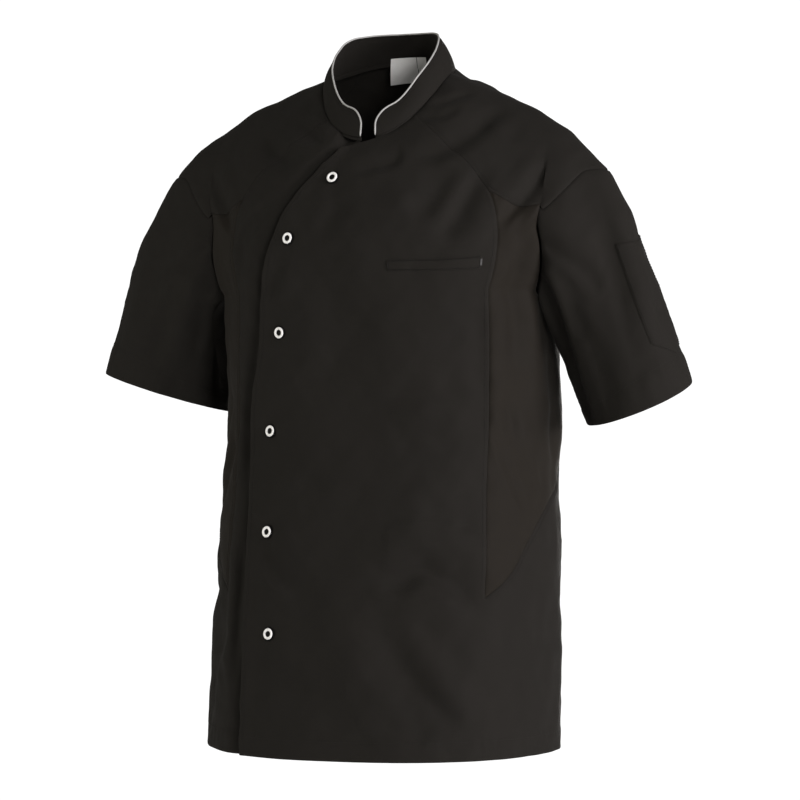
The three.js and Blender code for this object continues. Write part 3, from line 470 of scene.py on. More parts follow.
def mirrored(points):
    """The same line on the back: a body angle and its mirror image about the side."""
    return [(180 - angle, level) for angle, level in points]


def shares(length, near_start=True, near_end=True, gap=GRID_MM):
    """Shares along a length: even steps, with closer ones beside a seam or an edge."""
    start = list(NEAR_EDGE) if near_start else [0]
    end = [length - d for d in reversed(NEAR_EDGE)] if near_end else [length]
    count = max(int(round((end[0] - start[-1]) / gap)), 1)
    between = np.linspace(start[-1], end[0], count + 1)[1:-1]
    return np.concatenate([start, between, end]) / length


def patch(bottom, top, left, right, across, up):
    """Pairs that fill the space between four lines; each line is a function of its share."""
    s, t = across[None, :, None], up[:, None, None]
    b, tp = bottom(across)[None], top(across)[None]
    lf, rt = left(up)[:, None], right(up)[:, None]
    return ((1 - t) * b + t * tp + (1 - s) * lf + s * rt
            - (1 - s) * (1 - t) * b[:, :1] - s * (1 - t) * b[:, -1:]
            - (1 - s) * t * tp[:, :1] - s * t * tp[:, -1:])


def straight(start, end):
    start, end = np.asarray(start, float), np.asarray(end, float)
    return lambda f: start + (end - start) * np.asarray(f, float)[..., None]


def cap_share(turn):
    """How far the yoke reaches down the sleeve, as a share of the sleeve's length."""
    bent = np.where(turn > 180, turn - 360, turn)
    reach = np.maximum(np.cos(np.radians(bent * 90 / YOKE_END)), 0) ** CAP["bend"]
    return CAP["least"] + CAP["more"] * reach


def armhole_line(start, end):
    return lambda f: np.stack(along(ARMHOLE, start + (end - start) * np.asarray(f, float), 360), -1)


# A fold's depth against the tables, its reach in half widths, and the small rise on each side of it
FOLD_DEPTH = 2.0
FOLD_REACH = 3.6
FOLD_RISE = 0.3


class FoldField:
    """Troughs and ridges of the cloth, each a soft line in space."""

    def __init__(self):
        self.folds = []

    def add(self, points, normals, width, height, lean):
        tangents = unit(np.gradient(points, axis=0))
        self.folds.append((points, np.cross(normals, tangents), tangents, width, height, lean))

    def height(self, at):
        total = np.zeros(len(at))
        for points, sides, tangents, width, height, lean in self.folds:
            margin = FOLD_REACH * width
            inside = np.all((at > points.min(0) - margin) & (at < points.max(0) + margin), axis=1)
            picked = np.flatnonzero(inside)
            if not len(picked):
                continue
            offset = at[picked, None, :] - points[None]
            nearest = np.argmin((offset**2).sum(-1), axis=1)
            offset = offset[np.arange(len(picked)), nearest]
            aside = (offset * sides[nearest]).sum(-1)
            step = np.linalg.norm(points[1] - points[0])
            onward = (nearest + (offset * tangents[nearest]).sum(-1) / step) / (len(points) - 1)
            fade = smoothstep(onward, -0.12, 0.28) * (1 - smoothstep(onward, 0.7, 1.12))
            narrow = width * (0.72 + 0.28 * fade)
            if lean is None:
                total[picked] += height * fade * np.exp(-(offset**2).sum(-1) / width**2)
                continue
            x = aside / narrow
            x = x / np.where(x > 0, 1 + 0.7 * lean, 1 - 0.7 * lean)
            shape = np.exp(-x**2)
            for direction in (1, -1):
                shape -= FOLD_RISE * np.exp(-((x - 1.8 * direction) / 1.15) ** 2)
            far = np.linalg.norm(offset, axis=1) > margin
            total[picked] += np.where(far, 0, FOLD_DEPTH * height * fade * shape)
        return total


def waves(seed, count, shortest, longest, size):
    """Small unevenness of cloth: waves of several lengths and directions."""
    random = np.random.default_rng(seed)
    directions = unit(random.normal(size=(count, 3)))
    lengths = shortest * (longest / shortest) ** random.random(count)
    phases = random.random(count) * 2 * math.pi
    vectors = directions * (2 * math.pi / lengths)[:, None]
    sizes = size * (lengths / longest) ** 0.8
    return lambda at: (np.sin(at @ vectors.T + phases) * sizes).sum(-1)


def build_folds():
    body, sleeves = FoldField(), {1: FoldField(), -1: FoldField()}
    f = np.linspace(0, 1, 26)
    for places, width, height, lean in BODY_FOLDS:
        pairs = drawn(places)[0](f)
        body.add(body_surface(pairs[:, 0], pairs[:, 1]), body_normal(pairs[:, 0], pairs[:, 1]),
                 width, height, lean)
    for side, rows in SLEEVE_FOLDS.items():
        for places, width, height, lean in rows:
            table = np.array(places, float)
            table = np.column_stack([np.linspace(0, 1, len(table)), table])
            turn, share = along(table, f)
            sleeves[side].add(sleeve_surface(side, turn, share), sleeve_normal(side, turn, share),
                              width, height, lean)
    shoulders = FoldField()
    for side, places, width, height in SHOULDER_FULLNESS:
        table = np.column_stack([np.linspace(0, 1, len(places)), np.array(places, float)])
        u, v = along(table, f)
        points = sleeve_surface(side, u, v) if side else body_surface(u, v)
        normals = sleeve_normal(side, u, v) if side else body_normal(u, v)
        shoulders.add(points, normals, width, height, None)
    return body, sleeves, shoulders


BODY_FIELD, SLEEVE_FIELDS, SHOULDER_FIELD = build_folds()
BROAD_WAVES = waves(11, 14, 70, 190, 0.55)
FINE_WAVES = waves(23, 16, 16, 42, 0.16)


class SeamLines:
    """The seams in space, so that cloth near one can dip and pucker."""

    def __init__(self):
        self.points, self.run, self.pucker, self.depth = [], [], [], []
        self.length = 0.0

    def add(self, points, pucker, depth=0.8):
        steps = np.linalg.norm(np.diff(points, axis=0), axis=1)
        self.points.append(points)
        self.run.append(self.length + np.concatenate([[0], np.cumsum(steps)]))
        self.pucker.append(np.full(len(points), pucker))
        self.depth.append(np.full(len(points), depth))
        self.length += steps.sum() + 50

    def finish(self):
        self.points, self.run, self.pucker, self.depth = (
            np.concatenate(part) for part in (self.points, self.run, self.pucker, self.depth))
        self.tree = KDTree(len(self.points))
        for number, point in enumerate(self.points):
            self.tree.insert(point, number)
        self.tree.balance()
        return self

    def relief(self, at):
        found = [self.tree.find(point)[1:] for point in at]
        number = np.array([row[0] for row in found])
        distance = np.array([row[1] for row in found])
        run, strength = self.run[number], self.pucker[number]
        groove = np.exp(-(distance / 1.3) ** 2) + 0.45 * np.exp(-(distance / 5) ** 2)
        wrinkle = (np.sin(run / 1.9 + np.sin(run / 11) * 2.2 + distance * 0.12)
                   + 0.7 * np.sin(run / 3.1 + 1.3 + np.sin(run / 17) * 3)
                   + 0.5 * np.sin(run / 5.3 - distance * 0.1))
        uneven = 0.55 + 0.45 * np.sin(run / 37 + 1.1) * np.sin(run / 23)
        reach = np.exp(-((distance - 3.2) / 4.2) ** 2)
        return -self.depth[number] * groove + 0.26 * strength * uneven * wrinkle * reach


# Seams of one side: places, how much they pucker, and how deep their groove is in mm
SEAM_PAIRS = [
    (YOKE_INNER, 0.6, 0.4), (YOKE_OUTER, 0.8, 0.7),
    (INSERT_UPPER, 1.1, 0.75), (INSERT_LOWER, 1.3, 0.6),
    (INSERT_FRONT_HEM, 0.9, 0.8), (INSERT_BACK_HEM, 0.9, 0.8),
    (mirrored(YOKE_INNER), 0.8, 0.6), (mirrored(YOKE_OUTER), 0.8, 0.7),
    (mirrored(INSERT_UPPER), 0.9, 0.7),
    ([(BACK_SEAM_ANGLE, INSERT_MIDDLE), (BACK_SEAM_ANGLE, INSERT_BACK)], 0.9, 0.7),
    ([(SIDE_SEAM_ANGLE, INSERT_SIDE), (SIDE_SEAM_ANGLE, HEM_Z)], 0.7, 0.7),
]


def build_seams():
    seams = SeamLines()
    for side in (1, -1):
        for places, pucker, depth in SEAM_PAIRS:
            line, length = drawn(places)
            pairs = line(np.linspace(0, 1, int(length) + 2))
            seams.add(body_surface(side * pairs[:, 0], pairs[:, 1]), pucker, depth)
        turn = np.linspace(YOKE_END, 360 - YOKE_END, 300)
        angle, level = along(ARMHOLE, turn, 360)
        seams.add(body_surface(side * angle, level), 0.8)
        turn = np.linspace(-YOKE_END, YOKE_END, 260)
        seams.add(sleeve_surface(side, turn, cap_share(turn)), 0.8)
    seams.add(neck_edge(np.linspace(0, 360, 420)), 0.5)
    return seams.finish()


SEAMS = build_seams()
CLOSING_EDGE = joined(OVERLAP_UPPER, OVERLAP_LOWER)[0](np.linspace(0, 1, 900))
CLOSING_POINTS = body_surface(CLOSING_EDGE[:, 0], CLOSING_EDGE[:, 1])
SNAP_POINTS = body_surface(*np.array(SNAPS, float).T)


def closing_angle(level):
    """Body angle of the overlapping front's closing edge at a level."""
    order = np.argsort(CLOSING_EDGE[:, 1])
    return np.interp(level, CLOSING_EDGE[order, 1], CLOSING_EDGE[order, 0])


def hem_band(distance, run):
    """The turned-up hem: a little thicker, with a stitched line along its top."""
    band = 0.4 * (1 - smoothstep(distance, HEM_BAND - 2, HEM_BAND + 1.5))
    line = -0.35 * np.exp(-((distance - HEM_BAND + 1) / 1.3) ** 2)
    ripple = 0.22 * (np.sin(run / 2.6 + np.sin(run / 13) * 2) + 0.6 * np.sin(run / 4.4)) \
        * np.exp(-((distance - HEM_BAND + 5) / 8) ** 2)
    edge = -0.55 * np.exp(-(distance / 0.55) ** 2)
    return band + line + ripple + edge


def common_relief(at):
    return BROAD_WAVES(at) + FINE_WAVES(at) + SHOULDER_FIELD.height(at)


def snap_dents(at):
    total = np.zeros(len(at))
    for number, centre in enumerate(SNAP_POINTS):
        offset = at - centre
        distance = np.linalg.norm(offset, axis=1)
        close = distance < 60
        turn = np.arctan2(offset[close, 2], offset[close, 0])
        d = distance[close]
        drag = 0.5 * np.cos(3 * turn + number * 1.7) * np.exp(-((d - 14) / 12) ** 2)
        total[close] += -0.9 * np.exp(-(d / 9) ** 2) + drag
    return total


def from_closing_edge(angle, level):
    """Distance in mm around the body from the closing edge, towards the wearer's left."""
    return (angle - closing_angle(level)) * DEGREE_MM


def overlap_lift(angle, level):
    """The overlapping front's edge springs up a little, more in some places than others."""
    away = from_closing_edge(angle, level)
    spring = EDGE_SPRING * (0.75 + 0.25 * np.sin(level / 61 + 0.6) + 0.15 * np.sin(level / 23))
    return spring * np.exp(-(np.maximum(away, 0) / 13) ** 2)


def hem_sag(angle, level):
    """The front hem hangs a little lower than the sides."""
    return -HEM_SAG * np.exp(-((angle + 26) / 48) ** 2) * smoothstep(-level, 560, -HEM_Z)


def body_relief(angle, level, at):
    relief = BODY_FIELD.height(at) + common_relief(at) + SEAMS.relief(at) + snap_dents(at)
    return relief + hem_band(level - HEM_Z, angle * DEGREE_MM)


def body_place(angle, level, lift=0.0):
    """Outer point of the cloth, the direction out of it, and its place on the flat cloth in mm."""
    shape = np.broadcast(angle, level).shape
    angle, level = (np.broadcast_to(v, shape).astype(float).ravel() for v in (angle, level))
    at = body_surface(angle, level)
    normal = body_normal(angle, level)
    lift = np.broadcast_to(lift, shape).ravel()
    point = at + normal * (body_relief(angle, level, at) + lift)[:, None]
    point[:, 2] += hem_sag(angle, level)
    flat = np.stack([angle * DEGREE_MM, level], -1)
    return point.reshape(shape + (3,)), normal.reshape(shape + (3,)), flat.reshape(shape + (2,))


def sleeve_place(side, turn, share, lift=0.0):
    shape = np.broadcast(turn, share).shape
    turn, share = (np.broadcast_to(v, shape).astype(float).ravel() for v in (turn, share))
    at = sleeve_surface(side, turn, share)
    normal = sleeve_normal(side, turn, share)
    relief = SLEEVE_FIELDS[side].height(at) + common_relief(at) + SEAMS.relief(at)
    relief = relief + hem_band((1 - share) * SLEEVE_LENGTH * SLEEVE_SHORTER, turn * TURN_MM)
    relief = relief + np.broadcast_to(lift, shape).ravel()
    point = at + normal * relief[:, None]
    flat = np.stack([side * turn * TURN_MM + 2000 * side, -share * SLEEVE_LENGTH], -1)
    return point.reshape(shape + (3,)), normal.reshape(shape + (3,)), flat.reshape(shape + (2,))


def underlap_lift(angle, level):
    """The underlapping front drops under the overlapping one near the closing edge."""
    edge = closing_angle(level)
    beyond = -from_closing_edge(angle, level)
    dip = EDGE_DIP * np.exp(-(np.maximum(beyond - 3, 0) / 9) ** 2) * smoothstep(beyond, -34, -8)
    dip = dip * (1 + 0.4 * smoothstep(-level, 560, 700))
    under = 1 - smoothstep(-angle, -edge + LAYER_RAMP[0], -edge + LAYER_RAMP[1])
    return -dip - LAYER_DROP * under


def front_lift(angle, level):
    """Lift of whichever front is outermost at a place, so that stitches and snaps sit on it."""
    turned_back = (angle + 180) % 360 - 180
    over = from_closing_edge(turned_back, level) >= 0
    return np.where(over, overlap_lift(turned_back, level), underlap_lift(turned_back, level))


def pull_in(pairs, sides):
    """Draws the named sides of a grid in from their seam line, by moving their outermost row."""
    moved = pairs.copy()

    def pull(edge, onward):
        gap = np.linalg.norm(body_of(edge) - body_of(onward), axis=-1, keepdims=True)
        return edge + (onward - edge) * np.minimum(SEAM_GAP / np.maximum(gap, 1e-6), 0.6)
    if "left" in sides:
        moved[:, 0] = pull(pairs[:, 0], pairs[:, 1])
    if "right" in sides:
        moved[:, -1] = pull(pairs[:, -1], pairs[:, -2])
    if "bottom" in sides:
        moved[0] = pull(moved[0], moved[1])
    if "top" in sides:
        moved[-1] = pull(moved[-1], moved[-2])
    return moved


class Piece:
    """A cloth piece being laid out from grids of places, then closed into a thin shell."""

    def __init__(self, name, wall=CLOTH):
        self.name, self.wall = name, wall
        self.keys, self.points, self.normals, self.flats, self.faces = [], [], [], [], []
        self.count = 0

    def add(self, grid, keys=None):
        """One grid: arrays of points, directions and flat places; equal keys are the same point."""
        points, normals, flats = (part.reshape(-1, part.shape[-1]) for part in grid)
        rows, columns = grid[0].shape[:2]
        numbers = self.count + np.arange(rows * columns).reshape(rows, columns)
        corners = (numbers[:-1, :-1], numbers[:-1, 1:], numbers[1:, 1:], numbers[1:, :-1])
        self.faces.append(np.stack(corners, -1).reshape(-1, 4))
        self.keys.append(points if keys is None else keys.reshape(-1, keys.shape[-1]))
        self.points.append(points)
        self.normals.append(normals)
        self.flats.append(flats)
        self.count += rows * columns
        return self

    def mesh(self, wall_at=None):
        points, normals, flats, keys = (np.concatenate(part) for part in
                                        (self.points, self.normals, self.flats, self.keys))
        _, first, same = np.unique(np.round(keys * 50).astype(np.int64), axis=0, return_index=True,
                                   return_inverse=True)
        same = same.reshape(-1)
        # The last grid that names a point says where it lies
        last = np.zeros(len(first), int)
        last[same] = np.arange(len(same))
        outer, out = points[last], unit(normals[last])
        wall = self.wall if wall_at is None else wall_at(outer)[:, None]
        inner = outer - out * wall
        corners = np.concatenate(self.faces)
        faces = same[corners]
        edges = np.stack([faces, np.roll(faces, -1, axis=1)], -1).reshape(-1, 2)
        corner_pairs = np.stack([corners, np.roll(corners, -1, axis=1)], -1).reshape(-1, 2)
        _, where, times = np.unique(np.sort(edges, axis=1), axis=0, return_index=True,
                                    return_counts=True)
        open_edges = edges[where[times == 1]]
        open_corners = corner_pairs[where[times == 1]]
        count = len(outer)
        walls = np.stack([open_edges[:, 1], open_edges[:, 0], open_edges[:, 0] + count,
                          open_edges[:, 1] + count], -1)
        wall_corners = np.stack([open_corners[:, 1], open_corners[:, 0], open_corners[:, 0],
                                 open_corners[:, 1]], -1)
        every_face = np.concatenate([faces, faces[:, ::-1] + count, walls])
        every_corner = np.concatenate([corners, corners[:, ::-1], wall_corners])
        vertices = np.concatenate([outer, inner])
        if enclosed_volume(vertices, every_face) < 0:
            every_face, every_corner = every_face[:, ::-1], every_corner[:, ::-1]
        return new_mesh(self.name, vertices * MM, every_face, flats[every_corner.reshape(-1)] * MM)


def enclosed_volume(vertices, faces):
    """Signed volume inside closed four-sided faces: below 0 where they face inwards."""
    a, b, c, d = (vertices[faces[:, k]] for k in range(4))
    halves = np.einsum("ij,ij->i", a, np.cross(b, c)) + np.einsum("ij,ij->i", a, np.cross(c, d))
    return halves.sum()


def end_caps(numbers, low, high):
    """Faces that close both ends of numbered rings, each around a middle point."""
    sides = numbers.shape[1]
    caps = []
    for k in range(0, sides, 2):
        k1, k2 = (k + 1) % sides, (k + 2) % sides
        caps.append((low, numbers[0, k2], numbers[0, k1], numbers[0, k]))
        caps.append((high, numbers[-1, k], numbers[-1, k1], numbers[-1, k2]))
    return caps


def run_along(points):
    """Length along a line of points, from the first one to each."""
    return np.concatenate([[0], np.cumsum(np.linalg.norm(np.diff(points, axis=0), axis=1))])


def new_mesh(name, vertices, faces, flats=None, sharp_degrees=50):
    """A smooth-shaded mesh object of four-sided faces, with its flat cloth places as a UV layer."""
    mesh = bpy.data.meshes.new(name)
    faces = np.asarray(faces)
    mesh.vertices.add(len(vertices))
    mesh.vertices.foreach_set("co", np.ascontiguousarray(vertices, np.float32).ravel())
    mesh.loops.add(faces.size)
    mesh.loops.foreach_set("vertex_index", np.ascontiguousarray(faces, np.int32).ravel())
    mesh.polygons.add(len(faces))
    starts = np.arange(0, faces.size, faces.shape[1], dtype=np.int32)
    mesh.polygons.foreach_set("loop_start", starts)
    mesh.polygons.foreach_set("use_smooth", np.ones(len(faces), bool))
    mesh.update(calc_edges=True)
    if flats is not None:
        layer = mesh.uv_layers.new(name="cloth")
        layer.data.foreach_set("uv", np.ascontiguousarray(flats, np.float32).ravel())
    mesh.validate()
    mesh.set_sharp_from_angle(angle=math.radians(sharp_degrees))
    made = bpy.data.objects.new(name, mesh)
    bpy.context.collection.objects.link(made)
    return made


def body_of(pairs):
    return body_surface(pairs[..., 0], pairs[..., 1])


def body_grid(side, pairs, lift_at=None):
    angle, level = side * pairs[..., 0], pairs[..., 1]
    lift = 0.0 if lift_at is None else lift_at(angle, level)
    return body_place(angle, level, lift)


def with_edge_roll(grid, edges, depth=0.5, reach=0.7):
    """Turns the grid's free edges over a little; edges lists the sides that are free."""
    points, normals, flats = grid
    rows = np.linalg.norm(np.diff(points, axis=1), axis=-1)
    columns = np.linalg.norm(np.diff(points, axis=0), axis=-1)
    zero_column, zero_row = np.zeros((points.shape[0], 1)), np.zeros((1, points.shape[1]))
    run = {
        "left": np.hstack([zero_column, np.cumsum(rows, axis=1)]),
        "right": np.hstack([np.cumsum(rows[:, ::-1], axis=1)[:, ::-1], zero_column]),
        "bottom": np.vstack([zero_row, np.cumsum(columns, axis=0)]),
        "top": np.vstack([np.cumsum(columns[::-1], axis=0)[::-1], zero_row]),
    }
    drops = (depth * np.exp(-(run[edge] / reach) ** 2) for edge in edges)
    drop = sum(drops, np.zeros(points.shape[:2]))
    return points - normals * drop[..., None], normals, flats


def front(name, side, top, upper_edge, lower_edge, lift_at=None):
    piece = Piece(name)
    right, right_length = joined(YOKE_INNER, INSERT_UPPER, INSERT_LOWER)
    left = drawn(upper_edge)[0]
    across = shares(SPANS["front"])
    up = shares(right_length, near_start=False)
    low = shares(INSERT_TIP - HEM_Z)
    waist = straight(left(np.array(1.0)), (FRONT_SEAM_ANGLE, INSERT_TIP))
    hem_left = drawn(lower_edge)[0]
    hem = straight(hem_left(np.array(1.0)), (FRONT_SEAM_ANGLE, HEM_Z))
    upper = patch(waist, drawn(top)[0], lambda f: left(1 - f), lambda f: right(1 - f), across, up)
    middle = straight((FRONT_SEAM_ANGLE, HEM_Z), (FRONT_SEAM_ANGLE, INSERT_TIP))
    lower = patch(hem, waist, lambda f: hem_left(1 - f), middle, across, low)
    around, around_length = drawn(INSERT_FRONT_HEM)
    aside_across = shares(around_length, near_start=False)
    aside = patch(straight((FRONT_SEAM_ANGLE, HEM_Z), (SIDE_SEAM_ANGLE, HEM_Z)), around, middle,
                  straight((SIDE_SEAM_ANGLE, HEM_Z), (SIDE_SEAM_ANGLE, INSERT_SIDE)), aside_across, low)
    for pairs, sides, free in ((lower, (), ("left",)), (upper, ("right",), ("left",)),
                               (aside, ("right", "top"), ())):
        moved = pull_in(pairs, sides)
        piece.add(with_edge_roll(body_grid(side, moved, lift_at), free), pairs)
    return piece


def side_insert(name, side):
    piece = Piece(name)
    under, under_length = drawn(UNDER_FRONT)
    under_back = drawn(mirrored(UNDER_FRONT))[0]
    outer = drawn(YOKE_OUTER)[0]
    outer_back = drawn(mirrored(YOKE_OUTER))[0]
    upper, upper_length = drawn(INSERT_UPPER)
    upper_back = drawn(mirrored(INSERT_UPPER))[0]
    lower, lower_length = drawn(INSERT_LOWER)
    hem_line = joined(INSERT_FRONT_HEM, INSERT_BACK_HEM)[0]
    front_across = shares(under_length, near_end=False)
    back_across = 1 - front_across[::-1]
    up = shares(upper_length)
    front_part = patch(under, outer, lambda f: upper(1 - f), armhole_line(180, YOKE_END),
                       front_across, up)
    back_part = patch(lambda f: under_back(1 - f), lambda f: outer_back(1 - f),
                      armhole_line(180, 360 - YOKE_END), lambda f: upper_back(1 - f),
                      back_across, up)
    across = np.concatenate([front_across / 2, 0.5 + back_across[1:] / 2])

    def top(f):
        pairs = np.zeros(f.shape + (2,))
        first = f <= 0.5
        pairs[first] = under(f[first] * 2)
        pairs[~first] = under_back(1 - (f[~first] * 2 - 1))
        return pairs
    back_low = straight((BACK_SEAM_ANGLE, INSERT_BACK), (BACK_SEAM_ANGLE, INSERT_MIDDLE))
    down = shares(lower_length, near_end=False)
    below = patch(hem_line, top, lambda f: lower(1 - f), back_low, across, down)
    for pairs, sides in ((below, ("left", "right", "bottom")),
                         (front_part, ("left", "right", "top")),
                         (back_part, ("left", "right", "top"))):
        piece.add(body_grid(side, pull_in(pairs, sides)), pairs)
    return piece


def back(name):
    piece = Piece(name)
    low_line = [(BACK_SEAM_ANGLE, INSERT_MIDDLE), (BACK_SEAM_ANGLE, INSERT_BACK)]
    left, length = joined(mirrored(YOKE_INNER), mirrored(INSERT_UPPER), low_line)

    def over(line):
        return lambda f: line(f) * np.array([-1, 1]) + np.array([360, 0])

    def span(angle, level):
        return straight((angle, level), (360 - angle, level))
    up = shares(length, near_start=False)
    low = shares(INSERT_BACK - HEM_Z)
    across = shares(SPANS["back"])
    upper = patch(span(BACK_SEAM_ANGLE, INSERT_BACK), span(180 - YOKE_ANGLE, 0),
                  lambda f: left(1 - f), over(lambda f: left(1 - f)), across, up)
    rise = straight((BACK_SEAM_ANGLE, HEM_Z), (BACK_SEAM_ANGLE, INSERT_BACK))
    lower = patch(span(BACK_SEAM_ANGLE, HEM_Z), span(BACK_SEAM_ANGLE, INSERT_BACK), rise, over(rise),
                  across, low)
    around, around_length = drawn(INSERT_BACK_HEM)
    aside_across = shares(around_length, near_end=False)
    aside = patch(straight((SIDE_SEAM_ANGLE, HEM_Z), (BACK_SEAM_ANGLE, HEM_Z)), around,
                  straight((SIDE_SEAM_ANGLE, HEM_Z), (SIDE_SEAM_ANGLE, INSERT_SIDE)), rise,
                  aside_across, low)
    other = (aside * np.array([-1, 1]) + np.array([360, 0]))[:, ::-1]
    for pairs, sides in ((lower, ()), (upper, ("left", "right")), (aside, ("left", "top")),
                         (other, ("right", "top"))):
        piece.add(body_grid(1, pull_in(pairs, sides)), pairs)
    return piece


def yoke(name, side):
    piece = Piece(name)
    seam, seam_length = joined(YOKE_INNER, YOKE_OUTER)
    across = shares(SPANS["yoke"])
    up = shares(seam_length, near_end=False)
    rows = patch(straight((YOKE_ANGLE, 0), (180 - YOKE_ANGLE, 0)),
                 armhole_line(YOKE_END, -YOKE_END), seam,
                 lambda f: seam(f) * np.array([-1, 1]) + np.array([180, 0]), across, up)
    rows = pull_in(rows, ("left", "right", "bottom"))
    body_points, body_normals, body_flats = body_grid(side, rows)
    turn = (YOKE_END - 0.1) * (1 - 2 * across)
    down = shares(SPANS["sleeve_head"], near_start=False)[1:]
    share = cap_share(turn)[None] * down[:, None] - SEAM_GAP / SLEEVE_LENGTH
    cap_points, cap_normals, _ = sleeve_place(side, np.broadcast_to(turn, share.shape), share)
    # The yoke runs on over the sleeve head, and its direction turns into the sleeve's over 12 mm
    steps = np.diff(cap_points, axis=0, prepend=body_points[-1:])
    onward = np.cumsum(np.linalg.norm(steps, axis=-1), axis=0)
    cap_flats = body_flats[-1:] + np.stack([0 * onward, -onward], -1)
    blend = (smoothstep(onward, 0, 12) * 0.5 + 0.5)[..., None]
    cap_normals = unit(cap_normals * blend + body_normals[-1:] * (1 - blend))
    return piece.add((np.concatenate([body_points, cap_points]),
                      np.concatenate([body_normals, cap_normals]),
                      np.concatenate([body_flats, cap_flats])))


def sleeve_turns():
    cap = shares(2 * YOKE_END * HEAD_TURN_MM, gap=4.2) * 2 * YOKE_END - YOKE_END
    under_start, under_end = YOKE_END + CAP_STEP, 360 - YOKE_END - CAP_STEP
    under = np.linspace(under_start, under_end, SLEEVE_UNDER_STEPS)
    return np.concatenate([cap, under, [360 - YOKE_END]])


def tucked_under(points, normals, flats):
    """Adds the seam allowance before a grid's first row, under the piece that it is sewn to."""
    away = unit(points[0] - points[3])
    more = [(points[0] + away * reach - normals[0] * drop, normals[0], flats[0] - (0, reach))
            for reach, drop in ALLOWANCE]
    return tuple(np.concatenate([np.stack([row[k] for row in more]), grid])
                 for k, grid in enumerate((points, normals, flats)))


def sleeve(name, side):
    piece = Piece(name)
    turn = sleeve_turns()
    capped = (turn <= YOKE_END + 0.01) | (turn >= 360 - YOKE_END - 0.01)
    start = SEAM_GAP / SLEEVE_LENGTH + np.where(capped, cap_share(turn), 0)
    down = shares(SPANS["sleeve"])
    share = start[None] + (1 - start[None]) * down[:, None]
    grid = sleeve_place(side, np.broadcast_to(turn, share.shape), share)
    points, normals, flats = grid
    points[:, -1], normals[:, -1] = points[:, 0], normals[:, 0]
    return piece.add(tucked_under(points, normals, flats))


def collar_angles():
    span = COLLAR_END - COLLAR_START
    return COLLAR_START + shares(span * 1.2, gap=3.4) * span


def collar_place(angle, height, lift=0.0):
    at = collar_surface(angle, height)
    normal = collar_normal(angle, height)
    edge = np.minimum(np.minimum(angle - COLLAR_START, COLLAR_END - angle) * COLLAR_DEGREE_MM,
                      (collar_top(angle) - height) * COLLAR_FRONT_HEIGHT)
    shape = at.shape[:-1]
    flat_at = at.reshape(-1, 3)
    relief = (0.5 * BROAD_WAVES(flat_at) + 0.6 * FINE_WAVES(flat_at)).reshape(shape)
    edge_roll = -0.6 * np.exp(-(np.maximum(edge, 0) / 0.7) ** 2)
    stitch_line = -0.25 * np.exp(-((edge - 5.5) / 1.1) ** 2)
    lift = lift - 1.6 * smoothstep(-height, 0, 0.03)
    point = at + normal * (relief + edge_roll + stitch_line + lift)[..., None]
    flat = np.stack([angle * COLLAR_DEGREE_MM + 5000, height * 45 + 0 * angle], -1)
    return point, normal, flat


def collar(name):
    angle = collar_angles()
    up = shares(SPANS["collar"], gap=3.2)
    height = up[:, None] * collar_top(angle)[None]
    # The collar's seam allowance lies inside the panels, so the neck seam is shut
    allowance = np.array([-0.13, -0.07, -0.02])[:, None] + 0 * angle
    height = np.concatenate([allowance, height])
    angle = np.broadcast_to(angle, height.shape)
    return Piece(name, COLLAR_WALL).add(collar_place(angle, height))


def tube(name, points, normals, radius, sides=10, flats_at=(7000, 0)):
    """A closed round tube along points; its ends are rounded off."""
    tangents = unit(np.gradient(points, axis=0))
    aside = unit(np.cross(tangents, normals))
    up = np.cross(aside, tangents)
    turn = np.linspace(0, 2 * math.pi, sides, endpoint=False)
    ring = np.cos(turn)[None, :, None] * up[:, None] + np.sin(turn)[None, :, None] * aside[:, None]
    size = np.full(len(points), radius)
    grow = np.array([0.25, 0.7, 0.93])
    size[:3], size[-3:] = radius * grow, radius * grow[::-1]
    vertices = points[:, None] + ring * size[:, None, None]
    count = len(points)
    numbers = np.arange(count * sides).reshape(count, sides)
    nxt = np.roll(numbers, -1, axis=1)
    faces = np.stack([numbers[:-1], nxt[:-1], nxt[1:], numbers[1:]], -1).reshape(-1, 4)
    mesh_vertices = np.concatenate([vertices.reshape(-1, 3), points[:1], points[-1:]])
    faces = np.concatenate([faces, end_caps(numbers, count * sides, count * sides + 1)])
    run = run_along(points)
    flat = np.stack([np.broadcast_to(run[:, None], (count, sides)),
                     np.broadcast_to(turn * radius, (count, sides))], -1).reshape(-1, 2)
    flat = np.concatenate([flat, flat[:1], flat[-1:]]) + np.array(flats_at)
    return new_mesh(name, mesh_vertices * MM, faces, flat[faces.reshape(-1)] * MM, 60)


def even(points, normals, step):
    """Places every step mm along a line of points, with the directions out of the cloth there."""
    run = run_along(points)
    count = max(int(run[-1] / step), 2)
    at = (np.arange(count) + 0.5) / count * run[-1]

    def pick(values, where):
        return np.stack([np.interp(where, run, values[:, k]) for k in range(3)], -1)
    onward = pick(points, at + 0.6) - pick(points, at - 0.6)
    return pick(points, at), unit(pick(normals, at)), unit(onward)


